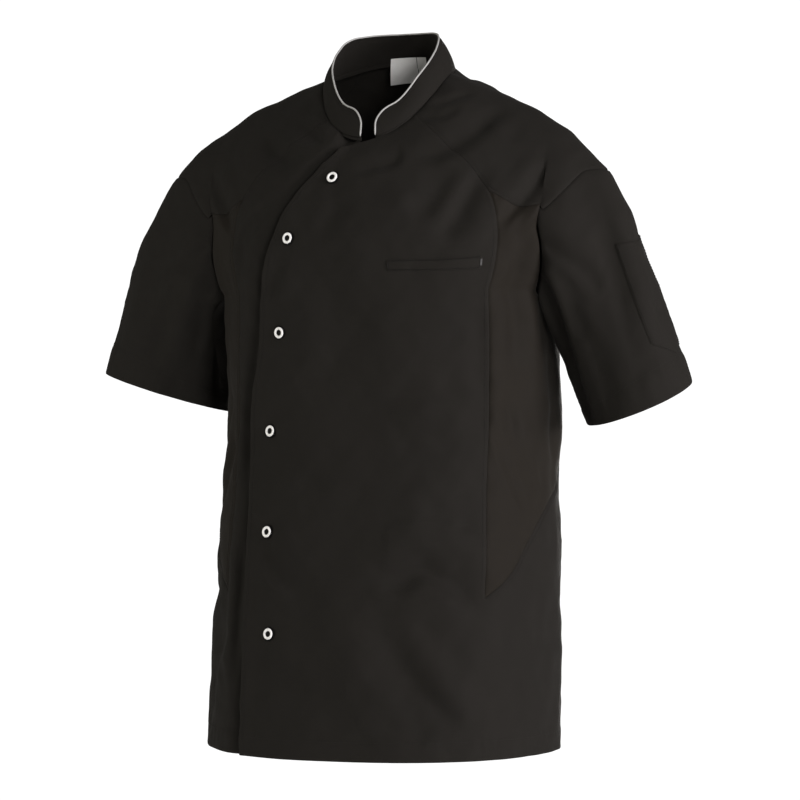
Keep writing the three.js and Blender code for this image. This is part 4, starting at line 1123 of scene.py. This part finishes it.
def stitch_bars(lines, step=3.3, length=2.5, radius=0.27, lift=0.16):
    """Vertices and faces of one small rounded bar for each stitch along the lines."""
    sides, shape = 6, np.array([(-0.5, 0.35), (-0.3, 0.95), (0.3, 0.95), (0.5, 0.35)])
    turn = np.linspace(0, 2 * math.pi, sides, endpoint=False)
    ring = np.arange(sides)
    faces_of_one = []
    for k in range(len(shape) - 1):
        for i in range(sides):
            j = (i + 1) % sides
            low, high = k * sides, (k + 1) * sides
            faces_of_one.append((low + i, low + j, high + j, high + i))
    last = (len(shape) - 1) * sides
    for start, order in ((0, (0, 5, 4, 1)), (0, (1, 4, 3, 2)),
                         (last, (0, 1, 4, 5)), (last, (1, 2, 3, 4))):
        faces_of_one.append(tuple(start + ring[k] for k in order))
    faces_of_one = np.array(faces_of_one)
    per = len(shape) * sides
    vertices, faces, count = [], [], 0
    for points, normals in lines:
        place, out, onward = even(points, normals, step)
        aside = unit(np.cross(onward, out))
        up = np.cross(aside, onward)
        block = (place[:, None, None] + up[:, None, None] * lift
                 + onward[:, None, None] * (shape[:, 0] * length)[None, :, None, None]
                 + radius * shape[:, 1][None, :, None, None]
                 * (np.cos(turn)[None, None, :, None] * up[:, None, None] * 0.8
                    + np.sin(turn)[None, None, :, None] * aside[:, None, None]))
        vertices.append(block.reshape(-1, 3))
        first = count + per * np.arange(len(place))
        faces.append((faces_of_one[None] + first[:, None, None]).reshape(-1, 4))
        count += per * len(place)
    return np.concatenate(vertices), np.concatenate(faces)


def stitching(name, lines, **sizes):
    vertices, faces = stitch_bars(lines, **sizes)
    a, b, c = (vertices[faces[0, k]] for k in range(3))
    centre = vertices[:24].mean(0)
    if np.dot(np.cross(b - a, c - b), a - centre) < 0:
        faces = faces[:, ::-1]
    return new_mesh(name, vertices * MM, faces, None, 80)


def beside(pairs, distance):
    """Body places moved at right angles to their line, by a distance in mm."""
    u, v = pairs[:, 0], pairs[:, 1]
    du = body_surface(u + 0.5, v) - body_surface(u - 0.5, v)
    dv = body_surface(u, v + 0.5) - body_surface(u, v - 0.5)
    onward = np.gradient(body_surface(u, v), axis=0)
    out = unit(np.cross(du, dv))
    aside = unit(np.cross(out, unit(onward))) * distance
    a, b, c = (du * du).sum(-1), (du * dv).sum(-1), (dv * dv).sum(-1)
    p, q = (du * aside).sum(-1), (dv * aside).sum(-1)
    determinant = a * c - b * b
    return pairs + np.stack([(c * p - b * q) / determinant, (a * q - b * p) / determinant], -1)


def body_line(side, pairs):
    """Points on the finished cloth along a line of body places, and the directions out of it."""
    angle, level = side * pairs[:, 0], pairs[:, 1]
    return body_place(angle, level, front_lift(angle, level))[:2]


def seam_row(side, places, distance, start=0.0, end=1.0):
    """A stitched row beside a seam of the wearer's left or right."""
    line, length = drawn(places)
    pairs = line(np.linspace(start, end, int(length / 1.5) + 2))
    return body_line(side, beside(pairs, distance))


# Shader nodes

class Value:
    """A number that varies over a surface; Python's operators add Math nodes to it."""

    def __init__(self, finish, socket):
        self.finish, self.socket = finish, socket

    def maths(self, operation, first, second=0.0):
        made = self.finish.node("ShaderNodeMath", {"operation": operation}, {0: first, 1: second})
        return Value(self.finish, made.outputs[0])

    def __add__(self, other):
        return self.maths("ADD", self, other)

    def __radd__(self, other):
        return self.maths("ADD", other, self)

    def __sub__(self, other):
        return self.maths("SUBTRACT", self, other)

    def __rsub__(self, other):
        return self.maths("SUBTRACT", other, self)

    def __mul__(self, other):
        return self.maths("MULTIPLY", self, other)

    def __rmul__(self, other):
        return self.maths("MULTIPLY", other, self)

    def sine(self):
        return self.maths("SINE", self)


class Finish:
    """One material, built node by node."""

    def __init__(self, name):
        self.material = bpy.data.materials.new(name)
        self.material.use_nodes = True
        self.tree = self.material.node_tree
        self.tree.nodes.clear()

    def node(self, kind, settings=None, sockets=None):
        made = self.tree.nodes.new(kind)
        for key, value in (settings or {}).items():
            setattr(made, key, value)
        for key, value in (sockets or {}).items():
            self.feed(made.inputs[key], value)
        return made

    def feed(self, socket, value):
        if isinstance(value, Value):
            value = value.socket
        if isinstance(value, bpy.types.NodeSocket):
            self.tree.links.new(value, socket)
        else:
            socket.default_value = value

    def cloth_place(self):
        """Place on the flat cloth, in metres."""
        return self.node("ShaderNodeUVMap", {"uv_map": "cloth"}).outputs["UV"]

    def across_and_along(self, vector):
        parts = self.node("ShaderNodeSeparateXYZ", None, {0: vector})
        return Value(self, parts.outputs[0]), Value(self, parts.outputs[1])

    def noise(self, scale, detail=2.0, vector=None):
        sockets = {"Scale": scale, "Detail": detail, "Roughness": 0.5}
        if vector is None:
            vector = self.node("ShaderNodeTexCoord").outputs["Object"]
        sockets["Vector"] = vector
        return Value(self, self.node("ShaderNodeTexNoise", None, sockets).outputs["Fac"])

    def mix(self, factor, first, second):
        made = self.node("ShaderNodeMix", {"data_type": "RGBA"}, {0: factor, 6: first, 7: second})
        return made.outputs[2]

    def bump(self, height, distance, strength):
        sockets = {"Height": height, "Distance": distance, "Strength": strength}
        return self.node("ShaderNodeBump", None, sockets).outputs["Normal"]

    def surface(self, **sockets):
        names = {key.replace("_", " "): value for key, value in sockets.items()}
        shader = self.node("ShaderNodeBsdfPrincipled", None, names)
        output = self.node("ShaderNodeOutputMaterial")
        self.tree.links.new(shader.outputs[0], output.inputs["Surface"])
        return self.material


THREAD_MM = 0.62


def rib_rate(width_mm):
    """How fast a sine turns over the cloth, in metres, for ribs of a width."""
    return 2 * math.pi / (width_mm * MM)


def twill_cloth(name, dark, light):
    """Cotton and polyester twill: fine diagonal ribs, slightly uneven threads, faint fading."""
    finish = Finish(name)
    place = finish.cloth_place()
    across, along_cloth = finish.across_and_along(place)
    ribs = ((across * 1.0 + along_cloth) * rib_rate(THREAD_MM)).sine()
    threads = ((across * 0.5 - along_cloth * 1.0) * (rib_rate(THREAD_MM) * 1.7)).sine()
    slubs = finish.noise(900.0, 2.0, place)
    wear = finish.noise(14.0, 3.0)
    height = ribs * 0.5 + threads * 0.25 + slubs * 0.9
    patchy = wear * 0.7 + slubs * 0.5 - 0.1
    return finish.surface(
        Base_Color=finish.mix(patchy, dark, light),
        Roughness=0.74 + wear * 0.16,
        Specular_IOR_Level=0.11,
        Sheen_Weight=0.012,
        Sheen_Roughness=0.45,
        Normal=finish.bump(height, 0.00007, 0.55),
    )


def stretch_cloth(name, dark, light):
    """The insert's stretch cloth: fine upright ribs with a softer, browner face."""
    finish = Finish(name)
    place = finish.cloth_place()
    across, along_cloth = finish.across_and_along(place)
    ribs = (across * rib_rate(1.15)).sine()
    loops = (along_cloth * rib_rate(0.8)).sine()
    slubs = finish.noise(700.0, 2.0, place)
    wear = finish.noise(18.0, 3.0)
    height = ribs * 0.55 + loops * ribs * 0.3 + slubs * 0.7
    return finish.surface(
        Base_Color=finish.mix(wear * 0.8 + slubs * 0.4 - 0.1, dark, light),
        Roughness=0.7 + wear * 0.16,
        Specular_IOR_Level=0.14,
        Sheen_Weight=0.02,
        Sheen_Roughness=0.4,
        Normal=finish.bump(height, 0.0001, 0.6),
    )


def thread(name, dark, light):
    finish = Finish(name)
    fibre = finish.noise(2600.0, 2.0)
    return finish.surface(
        Base_Color=finish.mix(fibre, dark, light), Roughness=0.6 + fibre * 0.2, Specular_IOR_Level=0.15,
        Normal=finish.bump(fibre, 0.00005, 0.5))


def satin_piping(name):
    finish = Finish(name)
    across, along_cloth = finish.across_and_along(finish.cloth_place())
    ribs = ((across + along_cloth * 0.6) * rib_rate(0.7)).sine()
    soil = finish.noise(60.0, 2.0)
    return finish.surface(
        Base_Color=finish.mix(soil, (0.27, 0.27, 0.265, 1), (0.42, 0.42, 0.41, 1)),
        Roughness=0.42 + soil * 0.15, Specular_IOR_Level=0.45,
        Normal=finish.bump(ribs, 0.00006, 0.6))


def ring_finish(name, colour, roughness, wear_to, specular=0.5):
    finish = Finish(name)
    scuffs = finish.noise(420.0, 3.0)
    return finish.surface(
        Base_Color=finish.mix(scuffs * 0.6, colour, wear_to), Roughness=roughness + scuffs * 0.14,
        Specular_IOR_Level=specular, Normal=finish.bump(scuffs, 0.00002, 0.4))


def label_cloth(name):
    finish = Finish(name)
    place = finish.cloth_place()
    across, along_cloth = finish.across_and_along(place)
    weave = (across * rib_rate(0.4)).sine() * (along_cloth * rib_rate(0.4)).sine()
    soil = finish.noise(80.0, 2.0)
    return finish.surface(
        Base_Color=finish.mix(soil, (0.86, 0.86, 0.85, 1), (0.74, 0.74, 0.73, 1)),
        Roughness=0.55 + soil * 0.15, Specular_IOR_Level=0.3, Normal=finish.bump(weave, 0.00004, 0.5))


TWILL = twill_cloth("black_twill", (0.0072, 0.0064, 0.0052, 1), (0.0132, 0.0119, 0.0102, 1))
STRETCH = stretch_cloth("stretch_side_cloth", (0.0062, 0.0049, 0.0033, 1), (0.0112, 0.0090, 0.0063, 1))
THREAD = thread("black_thread", (0.006, 0.0055, 0.005, 1), (0.015, 0.0135, 0.012, 1))
DARK_THREAD = thread("dark_thread", (0.0012, 0.0011, 0.001, 1), (0.003, 0.0028, 0.0025, 1))
PALE_THREAD = thread("grey_thread", (0.07, 0.07, 0.07, 1), (0.14, 0.14, 0.14, 1))
PIPING = satin_piping("grey_satin_piping")
RING = ring_finish("white_snap_ring", (0.84, 0.84, 0.83, 1), 0.25, (0.72, 0.72, 0.71, 1))
# The snap's own black middle, also used for the painted shadow of the rim round each ring
SNAP_BLACK_AND_RIM_SHADOW = ring_finish("black_snap_middle_and_rim_shadow", (0.0006, 0.0006, 0.0006, 1), 0.6,
                          (0.002, 0.002, 0.002, 1), 0.1)
LABEL = label_cloth("white_label_cloth")


def place_piece(made, material, slot, *nodes, sheet=None):
    """Gives a piece its finish and ties it to the frame."""
    made.data.materials.append(material)
    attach(made, "root")
    if nodes:
        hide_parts(*nodes)
    return made


# Flat cuts in metres: width, length, and the area of the cut itself where it isn't a rectangle
CUTS = {
    "front_left": ((0.46, 0.76), 0.213), "front_right": ((0.36, 0.76), 0.124),
    "back": ((0.52, 0.76), 0.275), "collar": ((0.45, 0.05), 0.017),
    "chest_pocket_welt": ((0.10, 0.014), None), "sleeve_pocket": ((0.052, 0.135), 0.0068),
    "neck_label": ((0.029, 0.037), None), "size_tab": ((0.013, 0.025), None),
}
for of_two, a_cut in (("side_insert", ((0.32, 0.44), 0.059)), ("yoke", ((0.30, 0.25), 0.039)),
                      ("sleeve", ((0.44, 0.27), 0.082))):
    CUTS[of_two + "_left"] = CUTS[of_two + "_right"] = a_cut


def place_sheet(piece, material, slot, held="hung", rests_on=None, wall_at=None):
    """Closes a cloth piece and names it after its solid; its cut is gathered but not kept."""
    made = piece.mesh(wall_at)
    made.name = piece.name + "_cloth"
    flat, area = CUTS[piece.name]
    said = {"flat": flat, "held": held}
    if area:
        said["area"] = area
    if rests_on:
        said["rests_on"] = rests_on
    place_piece(made, material, slot, piece.name, sheet=said)


def hem_wall(points):
    """Cloth is doubled in the hem."""
    return CLOTH + 0.9 * (1 - smoothstep(points[:, 2], HEM_Z + HEM_BAND - 3, HEM_Z + HEM_BAND + 2))


def closing_wall(points):
    """The overlapping front is doubled along its closing edge too."""
    edge = CLOSING_POINTS[::6]
    number = np.argmin(((points[:, None, ::2] - edge[None, :, ::2]) ** 2).sum(-1), axis=1)
    gap = np.linalg.norm(points - edge[number], axis=1)
    return np.maximum(hem_wall(points), CLOTH + 1 - smoothstep(gap, 4, 10))


place_sheet(front("front_left", 1, OVERLAP_TOP, OVERLAP_UPPER, OVERLAP_LOWER, overlap_lift),
            TWILL, "twill", wall_at=closing_wall)
place_sheet(front("front_right", -1, UNDERLAP_TOP, UNDERLAP_UPPER, UNDERLAP_LOWER, underlap_lift),
            TWILL, "twill", wall_at=hem_wall)
place_sheet(back("back"), TWILL, "twill", wall_at=hem_wall)
for shaped, word, material, slot_name in ((side_insert, "side_insert", STRETCH, "stretch_insert"),
                                          (yoke, "yoke", TWILL, "twill"),
                                          (sleeve, "sleeve", TWILL, "twill")):
    for side, hand in ((1, "left"), (-1, "right")):
        place_sheet(shaped(f"{word}_{hand}", side), material, slot_name)
place_sheet(collar("collar"), TWILL, "twill")


# Piping along the collar's edge

def piping_line():
    def front_end(angle, heights):
        return [(angle, share * collar_top(np.array(angle))) for share in heights]
    angles = collar_angles()
    pairs = np.concatenate([front_end(COLLAR_START, (0.03, 0.4)),
                            np.stack([angles, collar_top(angles)], -1),
                            front_end(COLLAR_END, (0.4, 0.03))])
    points, normals, _ = collar_place(pairs[:, 0], pairs[:, 1])
    table = np.column_stack([np.arange(len(points)), points, normals])
    values = np.stack(along(table, np.linspace(0, len(points) - 1, 420)), -1)
    points, normals = values[:, :3], unit(values[:, 3:])
    run = run_along(points)
    at = np.linspace(0, run[-1], 330)
    points, normals = (np.stack([np.interp(at, run, part[:, k]) for k in range(3)], -1)
                       for part in (points, normals))
    return points, unit(normals)


edge_points, edge_normals = piping_line()
piping = tube("collar_piping_cord", edge_points + edge_normals * 0.5, edge_normals, 0.95, 12)
place_piece(piping, PIPING, "piping", "collar_piping")


# Ring snaps: a white domed ring and a black middle, with a black rim round the ring that paints the
# shadow beside it

def turned(name, profile, centre, axis, closed=True, sides=48):
    """A turned piece: radius and height pairs round an axis, as a closed loop or with two ends."""
    turn = np.linspace(0, 2 * math.pi, sides, endpoint=False)
    profile = np.asarray(profile, float)
    radii, heights = profile[:, :1], profile[:, 1:]
    points = np.stack([radii * np.cos(turn), radii * np.sin(turn), heights + 0 * turn], -1)
    numbers = np.arange(len(profile) * sides).reshape(len(profile), sides)
    first = numbers if closed else numbers[:-1]
    after = np.roll(numbers, -1, axis=0) if closed else numbers[1:]
    corners = (first, np.roll(first, -1, axis=1), np.roll(after, -1, axis=1), after)
    faces = np.stack(corners, -1).reshape(-1, 4)
    axis = unit(axis)
    side = unit(np.cross(axis, (0.0, 0.0, 1.0)))
    vertices = points.reshape(-1, 3) @ np.stack([side, np.cross(axis, side), axis]) + centre
    if not closed:
        faces = np.concatenate([faces, end_caps(numbers, len(vertices), len(vertices) + 1)])
        vertices = np.concatenate([vertices, centre + axis * profile[[0, -1], 1:]])
    if enclosed_volume(vertices, faces) < 0:
        faces = faces[:, ::-1]
    return new_mesh(name, vertices * MM, faces, None, 40)


RING_PROFILE = [(3.15, 0.2), (5.8, 0.2), (6.1, 0.55), (6.1, 1.0), (5.8, 1.45), (5.3, 1.7),
                (4.7, 1.78), (4.0, 1.66), (3.45, 1.35), (3.2, 1.05), (3.15, 0.8)]
# The black rim round the ring is painted shadow: it darkens the dimple and gap round each snap. The
# middle is the snap's own black.
SHADOW_RIM_PROFILE = [(7.3, -1.0), (7.8, -0.3), (7.75, 0.4), (7.2, 0.85), (2.2, 0.85)]
MIDDLE_PROFILE = [(3.14, 0.0), (3.14, 0.75), (2.5, 0.95), (1.8, 1.0), (1.4, 0.88), (0.6, 0.86)]
for number, (angle, level) in enumerate(SNAPS, 1):
    place = np.array([angle]), np.array([level])
    centre, axis, _ = body_place(*place, front_lift(*place))
    centre, axis = centre[0] + axis[0] * 0.7, axis[0]
    ring = turned(f"snap_ring_{number}", RING_PROFILE, centre, axis)
    place_piece(ring, RING, "snap", f"snap_{number}")
    for word, profile in (("seat", SHADOW_RIM_PROFILE), ("middle", MIDDLE_PROFILE)):
        made = turned(f"snap_{word}_{number}", profile, centre, axis, closed=False)
        place_piece(made, SNAP_BLACK_AND_RIM_SHADOW, "snap")


# Chest pocket: a narrow welt, stitched round, with a bartack at each end

WELT = {"angle": 27, "level": -213, "length": 100, "width": 14, "slant": -2}
WELT_WALL = 1.0
WELT_LIFT = WELT_WALL + 0.3
ALL_SIDES = ("left", "right", "bottom", "top")


def welt_pairs(across, up):
    middle = body_surface(WELT["angle"], WELT["level"])
    per_degree = np.linalg.norm(body_surface(WELT["angle"] + 1, WELT["level"]) - middle)
    f, g = np.meshgrid(across, up)
    angle = WELT["angle"] + (f - 0.5) * WELT["length"] / per_degree
    level = WELT["level"] + (f - 0.5) * WELT["slant"] + (g - 0.5) * WELT["width"]
    return np.stack([angle, level], -1)


def chest_welt():
    pairs = welt_pairs(shares(WELT["length"], gap=2.5), shares(WELT["width"], gap=1.6))
    grid = body_grid(1, pairs, lambda angle, level: 0 * angle + WELT_LIFT)
    grid = with_edge_roll(grid, ALL_SIDES, 0.8, 0.9)
    return Piece("chest_pocket_welt", WELT_WALL).add(grid)


def welt_row(f, g):
    """A line on the welt, by shares of its length and its width."""
    pairs = welt_pairs(np.array(f), np.array([0.0]))[0]
    pairs[:, 1] += np.array(g) * WELT["width"]
    return body_place(pairs[:, 0], pairs[:, 1], WELT_LIFT)[:2]


place_sheet(chest_welt(), TWILL, "twill", "laid", ["front_left_cloth"])
long = np.linspace(0.02, 0.98, 90)
short = np.linspace(0.14, 0.86, 12)
welt_lines = [
    welt_row(long, 0 * long + 0.12), welt_row(long, 0 * long + 0.88),
    welt_row(0 * short + 0.02, short), welt_row(0 * short + 0.98, short),
]
place_piece(stitching("chest_pocket_stitches", welt_lines, length=2.3, radius=0.34), DARK_THREAD,
            "twill")
tack = np.linspace(0.27, 0.73, 12)
tacks = [welt_row(0 * tack + 0.985, tack), welt_row(0 * tack + 0.995, tack)]
place_piece(stitching("chest_pocket_tack", tacks, step=0.9, length=1.5, radius=0.42, lift=0.35),
            PALE_THREAD, "twill")
tacks = [welt_row(0 * tack + 0.012, tack)]
place_piece(stitching("chest_pocket_left_tack", tacks, step=0.9, length=1.5, radius=0.36, lift=0.3),
            THREAD, "twill")


# Pen pocket on the wearer's left sleeve, with a pointed bottom

SLEEVE_POCKET = {"column": 7.35, "row": 2.85, "half_width": 24, "length": 128, "point": 20, "tip": 2,
                 "lean": -18}
POCKET_LIFT = 1.3
CAP_COLUMNS = 14
SLEEVE_ROWS = 8


def sleeve_grid(column, row):
    """A place on the sleeve by the column and row of its plain solid's faces: turn, share."""
    turn = YOKE_END * (2 * np.asarray(column, float) / CAP_COLUMNS - 1)
    start = cap_share(turn)
    return turn, start + (1 - start) * np.asarray(row, float) / SLEEVE_ROWS


def sleeve_pocket_pairs(across, down):
    p = SLEEVE_POCKET

    def at(column, row):
        return sleeve_surface(1, *sleeve_grid(p["column"] + column, p["row"] + row))
    per_column = np.linalg.norm(at(0.5, 1) - at(-0.5, 1))
    per_row = np.linalg.norm(at(0, 1) - at(0, 0))
    f, d = np.meshgrid(across, down)
    half = np.minimum(p["half_width"], p["half_width"] + (p["tip"] - p["half_width"])
                      * (1 - (1 - d) * p["length"] / p["point"]))
    aside = half * (1 - 2 * f) + p["lean"] * d
    return sleeve_grid(p["column"] + aside / per_column, p["row"] + d * p["length"] / per_row)


def sleeve_pocket():
    width, length = 2 * SLEEVE_POCKET["half_width"], SLEEVE_POCKET["length"]
    turn, share = sleeve_pocket_pairs(shares(width, gap=2.4), shares(length, gap=2.6))
    grid = sleeve_place(1, turn, share, POCKET_LIFT + 0 * turn)
    grid = with_edge_roll(grid, ALL_SIDES, 0.8, 0.9)
    return Piece("sleeve_pocket", 1.0).add(grid)


place_sheet(sleeve_pocket(), TWILL, "twill", "laid", ["sleeve_left_cloth"])


def pocket_row(across, down):
    """A line on the sleeve pocket, by shares of its width and its length."""
    turn, share = sleeve_pocket_pairs(np.array([0.0]), np.asarray(down))
    turn_end, share_end = sleeve_pocket_pairs(np.array([1.0]), np.asarray(down))
    across = np.asarray(across)
    turn = turn[:, 0] + (turn_end[:, 0] - turn[:, 0]) * across
    share = share[:, 0] + (share_end[:, 0] - share[:, 0]) * across
    return sleeve_place(1, turn, share, POCKET_LIFT)[:2]


down = np.linspace(0.01, 0.96, 90)
flat_row = np.linspace(0.04, 0.96, 40)
pocket_lines = [pocket_row(0.045 + 0 * down, down), pocket_row(0.955 + 0 * down, down),
                pocket_row(flat_row, 0.12 + 0 * flat_row)]
place_piece(stitching("sleeve_pocket_stitches", pocket_lines), THREAD, "twill")


# Blank label and tab, sewn inside the back neck

def neck_cloth(name, start, end, drop, wall=0.6):
    """A strip of label cloth: sewn in above the neck seam, its lower end hanging free."""
    f, g = np.meshgrid(shares(abs(end - start), gap=2.5), shares(drop, gap=2.0))
    angle = 180 - (start + (end - start) * f) / 1.3
    seam_at, seam_normal, _ = collar_place(angle, 0 * angle + 0.17, -COLLAR_WALL - 1.2)
    low_at, low_normal, _ = body_place(angle, 0 * angle - 8 - drop * 0.72, -CLOTH - 7)
    bend = np.sin(g * math.pi)[..., None]
    points = seam_at + (low_at - seam_at) * g[..., None] - low_normal * bend * 3.0
    normals = unit(seam_normal + (low_normal - seam_normal) * g[..., None])
    flats = np.stack([(start + (end - start) * f) + 3000, -drop * g], -1)
    return Piece(name, wall).add((points, normals, flats))


for word, start, end, drop in (("neck_label", -20.5, 8.5, 31), ("size_tab", 9.5, 21.5, 20)):
    place_sheet(neck_cloth(word, start, end, drop), LABEL, "label", "laid", ["back_cloth"])


# Topstitching

STITCH_INSET = 4.5
CLOSING_INSET = 5.5
COLLAR_INSET = 5.5
# Rows beside the seams: places, side of the seam, and the shares where the row starts and ends
TOPSTITCHED = [
    (INSERT_UPPER, -1, 0.02, 1), (INSERT_LOWER, -1, 0, 0.99),
    (YOKE_INNER, 1, 0.03, 1), (YOKE_OUTER, 1, 0, 0.97),
    (mirrored(YOKE_INNER), -1, 0.03, 1), (mirrored(INSERT_UPPER), 1, 0.02, 1),
    (INSERT_FRONT_HEM, -1, 0.03, 1), (INSERT_BACK_HEM, -1, 0, 0.97),
]
rows = [seam_row(side, places, side * hand * STITCH_INSET, start, end)
        for side in (1, -1) for places, hand, start, end in TOPSTITCHED]
place_piece(stitching("seam_topstitches", rows), THREAD, "twill")

closing = beside(CLOSING_EDGE[::2], -CLOSING_INSET)
if closing[200, 0] < CLOSING_EDGE[400, 0]:
    closing = beside(CLOSING_EDGE[::2], CLOSING_INSET)
place_piece(stitching("closing_edge_stitches", [body_line(1, closing[4:-3])]), THREAD, "twill")

hem_start = closing_angle(HEM_Z + 20)
hem_angles = np.arange(hem_start + 1.2, 360 + hem_start - 0.8, 0.5)
hem_levels = np.full(len(hem_angles), HEM_Z + HEM_BAND - 1.0)
hem_points = body_place(hem_angles, hem_levels, front_lift(hem_angles, hem_levels))[:2]
place_piece(stitching("hem_stitches", [hem_points]), THREAD, "twill")

turns = np.arange(0, 360.5, 1.5)
cuff_share = np.full(len(turns), 1 - (HEM_BAND - 1) / (SLEEVE_LENGTH * SLEEVE_SHORTER))
cuff_rows = [sleeve_place(side, turns, cuff_share)[:2] for side in (1, -1)]
place_piece(stitching("cuff_stitches", cuff_rows), THREAD, "twill")

collar_run = np.linspace(COLLAR_START + 5, COLLAR_END - 5, 300)
height = collar_top(collar_run) - COLLAR_INSET / (COLLAR_FRONT_HEIGHT + 8)
place_piece(stitching("collar_stitches", [collar_place(collar_run, height)[:2]]), THREAD, "twill")


# Floor, light and camera

def floor():
    """A round pale floor, small enough to stay below the photo's view."""
    radius, level, count = 2.8, -1.35, 96
    turn = np.linspace(0, 2 * math.pi, count + 1)[:-1]
    rings = [np.stack([r * np.cos(turn), r * np.sin(turn), level + 0 * turn], -1)
             for r in (radius * 0.02, radius * 0.5, radius)]
    first = np.arange(count)
    after = np.roll(first, -1)
    faces = [np.stack([first + low, first + low + count, after + low + count, after + low], -1)
             for low in (0, count)]
    faces.append([(0, 2 * k + 1, 2 * k + 2, (2 * k + 3) % count) for k in range(count // 2 - 1)])
    made = new_mesh("studio_floor", np.concatenate(rings), np.concatenate(faces))
    finish = Finish("pale_floor")
    grain = finish.noise(3.0, 2.0)
    made.data.materials.append(finish.surface(
        Base_Color=finish.mix(grain, (0.86, 0.86, 0.86, 1), (0.9, 0.9, 0.9, 1)), Roughness=0.9,
        Specular_IOR_Level=0.1, Emission_Color=(1, 1, 1, 1), Emission_Strength=0.12))


floor()
scene = bpy.context.scene
scene.view_settings.view_transform = "Standard"
scene.view_settings.look = "None"
scene.view_settings.exposure = 0
scene.view_settings.gamma = 1


def studio_world():
    world = bpy.data.worlds.new("pale_studio")
    scene.world = world
    world.use_nodes = True
    nodes, links = world.node_tree.nodes, world.node_tree.links
    nodes.clear()
    rays = nodes.new("ShaderNodeLightPath")
    seen = nodes.new("ShaderNodeBackground")
    seen.inputs[0].default_value = (1, 1, 1, 1)
    seen.inputs[1].default_value = 1.1
    lighting = nodes.new("ShaderNodeBackground")
    lighting.inputs[0].default_value = (1.0, 0.97, 0.9, 1)
    lighting.inputs[1].default_value = 0.19
    choose = nodes.new("ShaderNodeMixShader")
    output = nodes.new("ShaderNodeOutputWorld")
    links.new(rays.outputs["Is Camera Ray"], choose.inputs[0])
    links.new(lighting.outputs[0], choose.inputs[1])
    links.new(seen.outputs[0], choose.inputs[2])
    links.new(choose.outputs[0], output.inputs[0])


def soft_light(name, at, aim, size, power, tint):
    light = bpy.data.lights.new(name, "AREA")
    light.shape, light.size, light.energy, light.color = "SQUARE", size, power, tint
    made = bpy.data.objects.new(name, light)
    made.location = at
    made.rotation_euler = (Vector(aim) - Vector(at)).to_track_quat("-Z", "Y").to_euler()
    bpy.context.collection.objects.link(made)


studio_world()
CAMERA_AZIMUTH = 21
CAMERA_DISTANCE = 2.9
FRAME_WIDTH = 0.88
FRAME_CENTRE = (0.0165, -0.3575)


def around(azimuth, distance, height):
    """A place round the jacket: azimuth from its front towards the wearer's left."""
    a = math.radians(azimuth)
    return (distance * math.sin(a), -distance * math.cos(a), height)


soft_light("right_softbox", around(74, 2.5, 0.1), (0, 0, -0.27), 0.9, 64, (1.0, 0.95, 0.98))
soft_light("front_softbox", around(44, 3.0, 0.5), (0, 0, -0.27), 0.8, 46, (1.0, 0.98, 0.97))
soft_light("left_softbox", around(-62, 2.8, 0.2), (0, 0, -0.4), 1.2, 29, (1.0, 0.96, 0.86))
soft_light("back_softbox", around(188, 3.2, -0.25), (0, 0, -0.4), 1.4, 105, (1.0, 0.97, 0.93))

camera_data = bpy.data.cameras.new("photo_camera")
camera_data.sensor_width = 36
camera_data.lens = 36 * CAMERA_DISTANCE / FRAME_WIDTH
camera = bpy.data.objects.new("photo_camera", camera_data)
a = math.radians(CAMERA_AZIMUTH)
x, y, _ = around(CAMERA_AZIMUTH, CAMERA_DISTANCE, 0)
aside, height = FRAME_CENTRE
camera.location = (x + aside * math.cos(a), y + aside * math.sin(a), height)
camera.rotation_euler = (math.pi / 2, 0, a)
bpy.context.collection.objects.link(camera)
scene.camera = camera
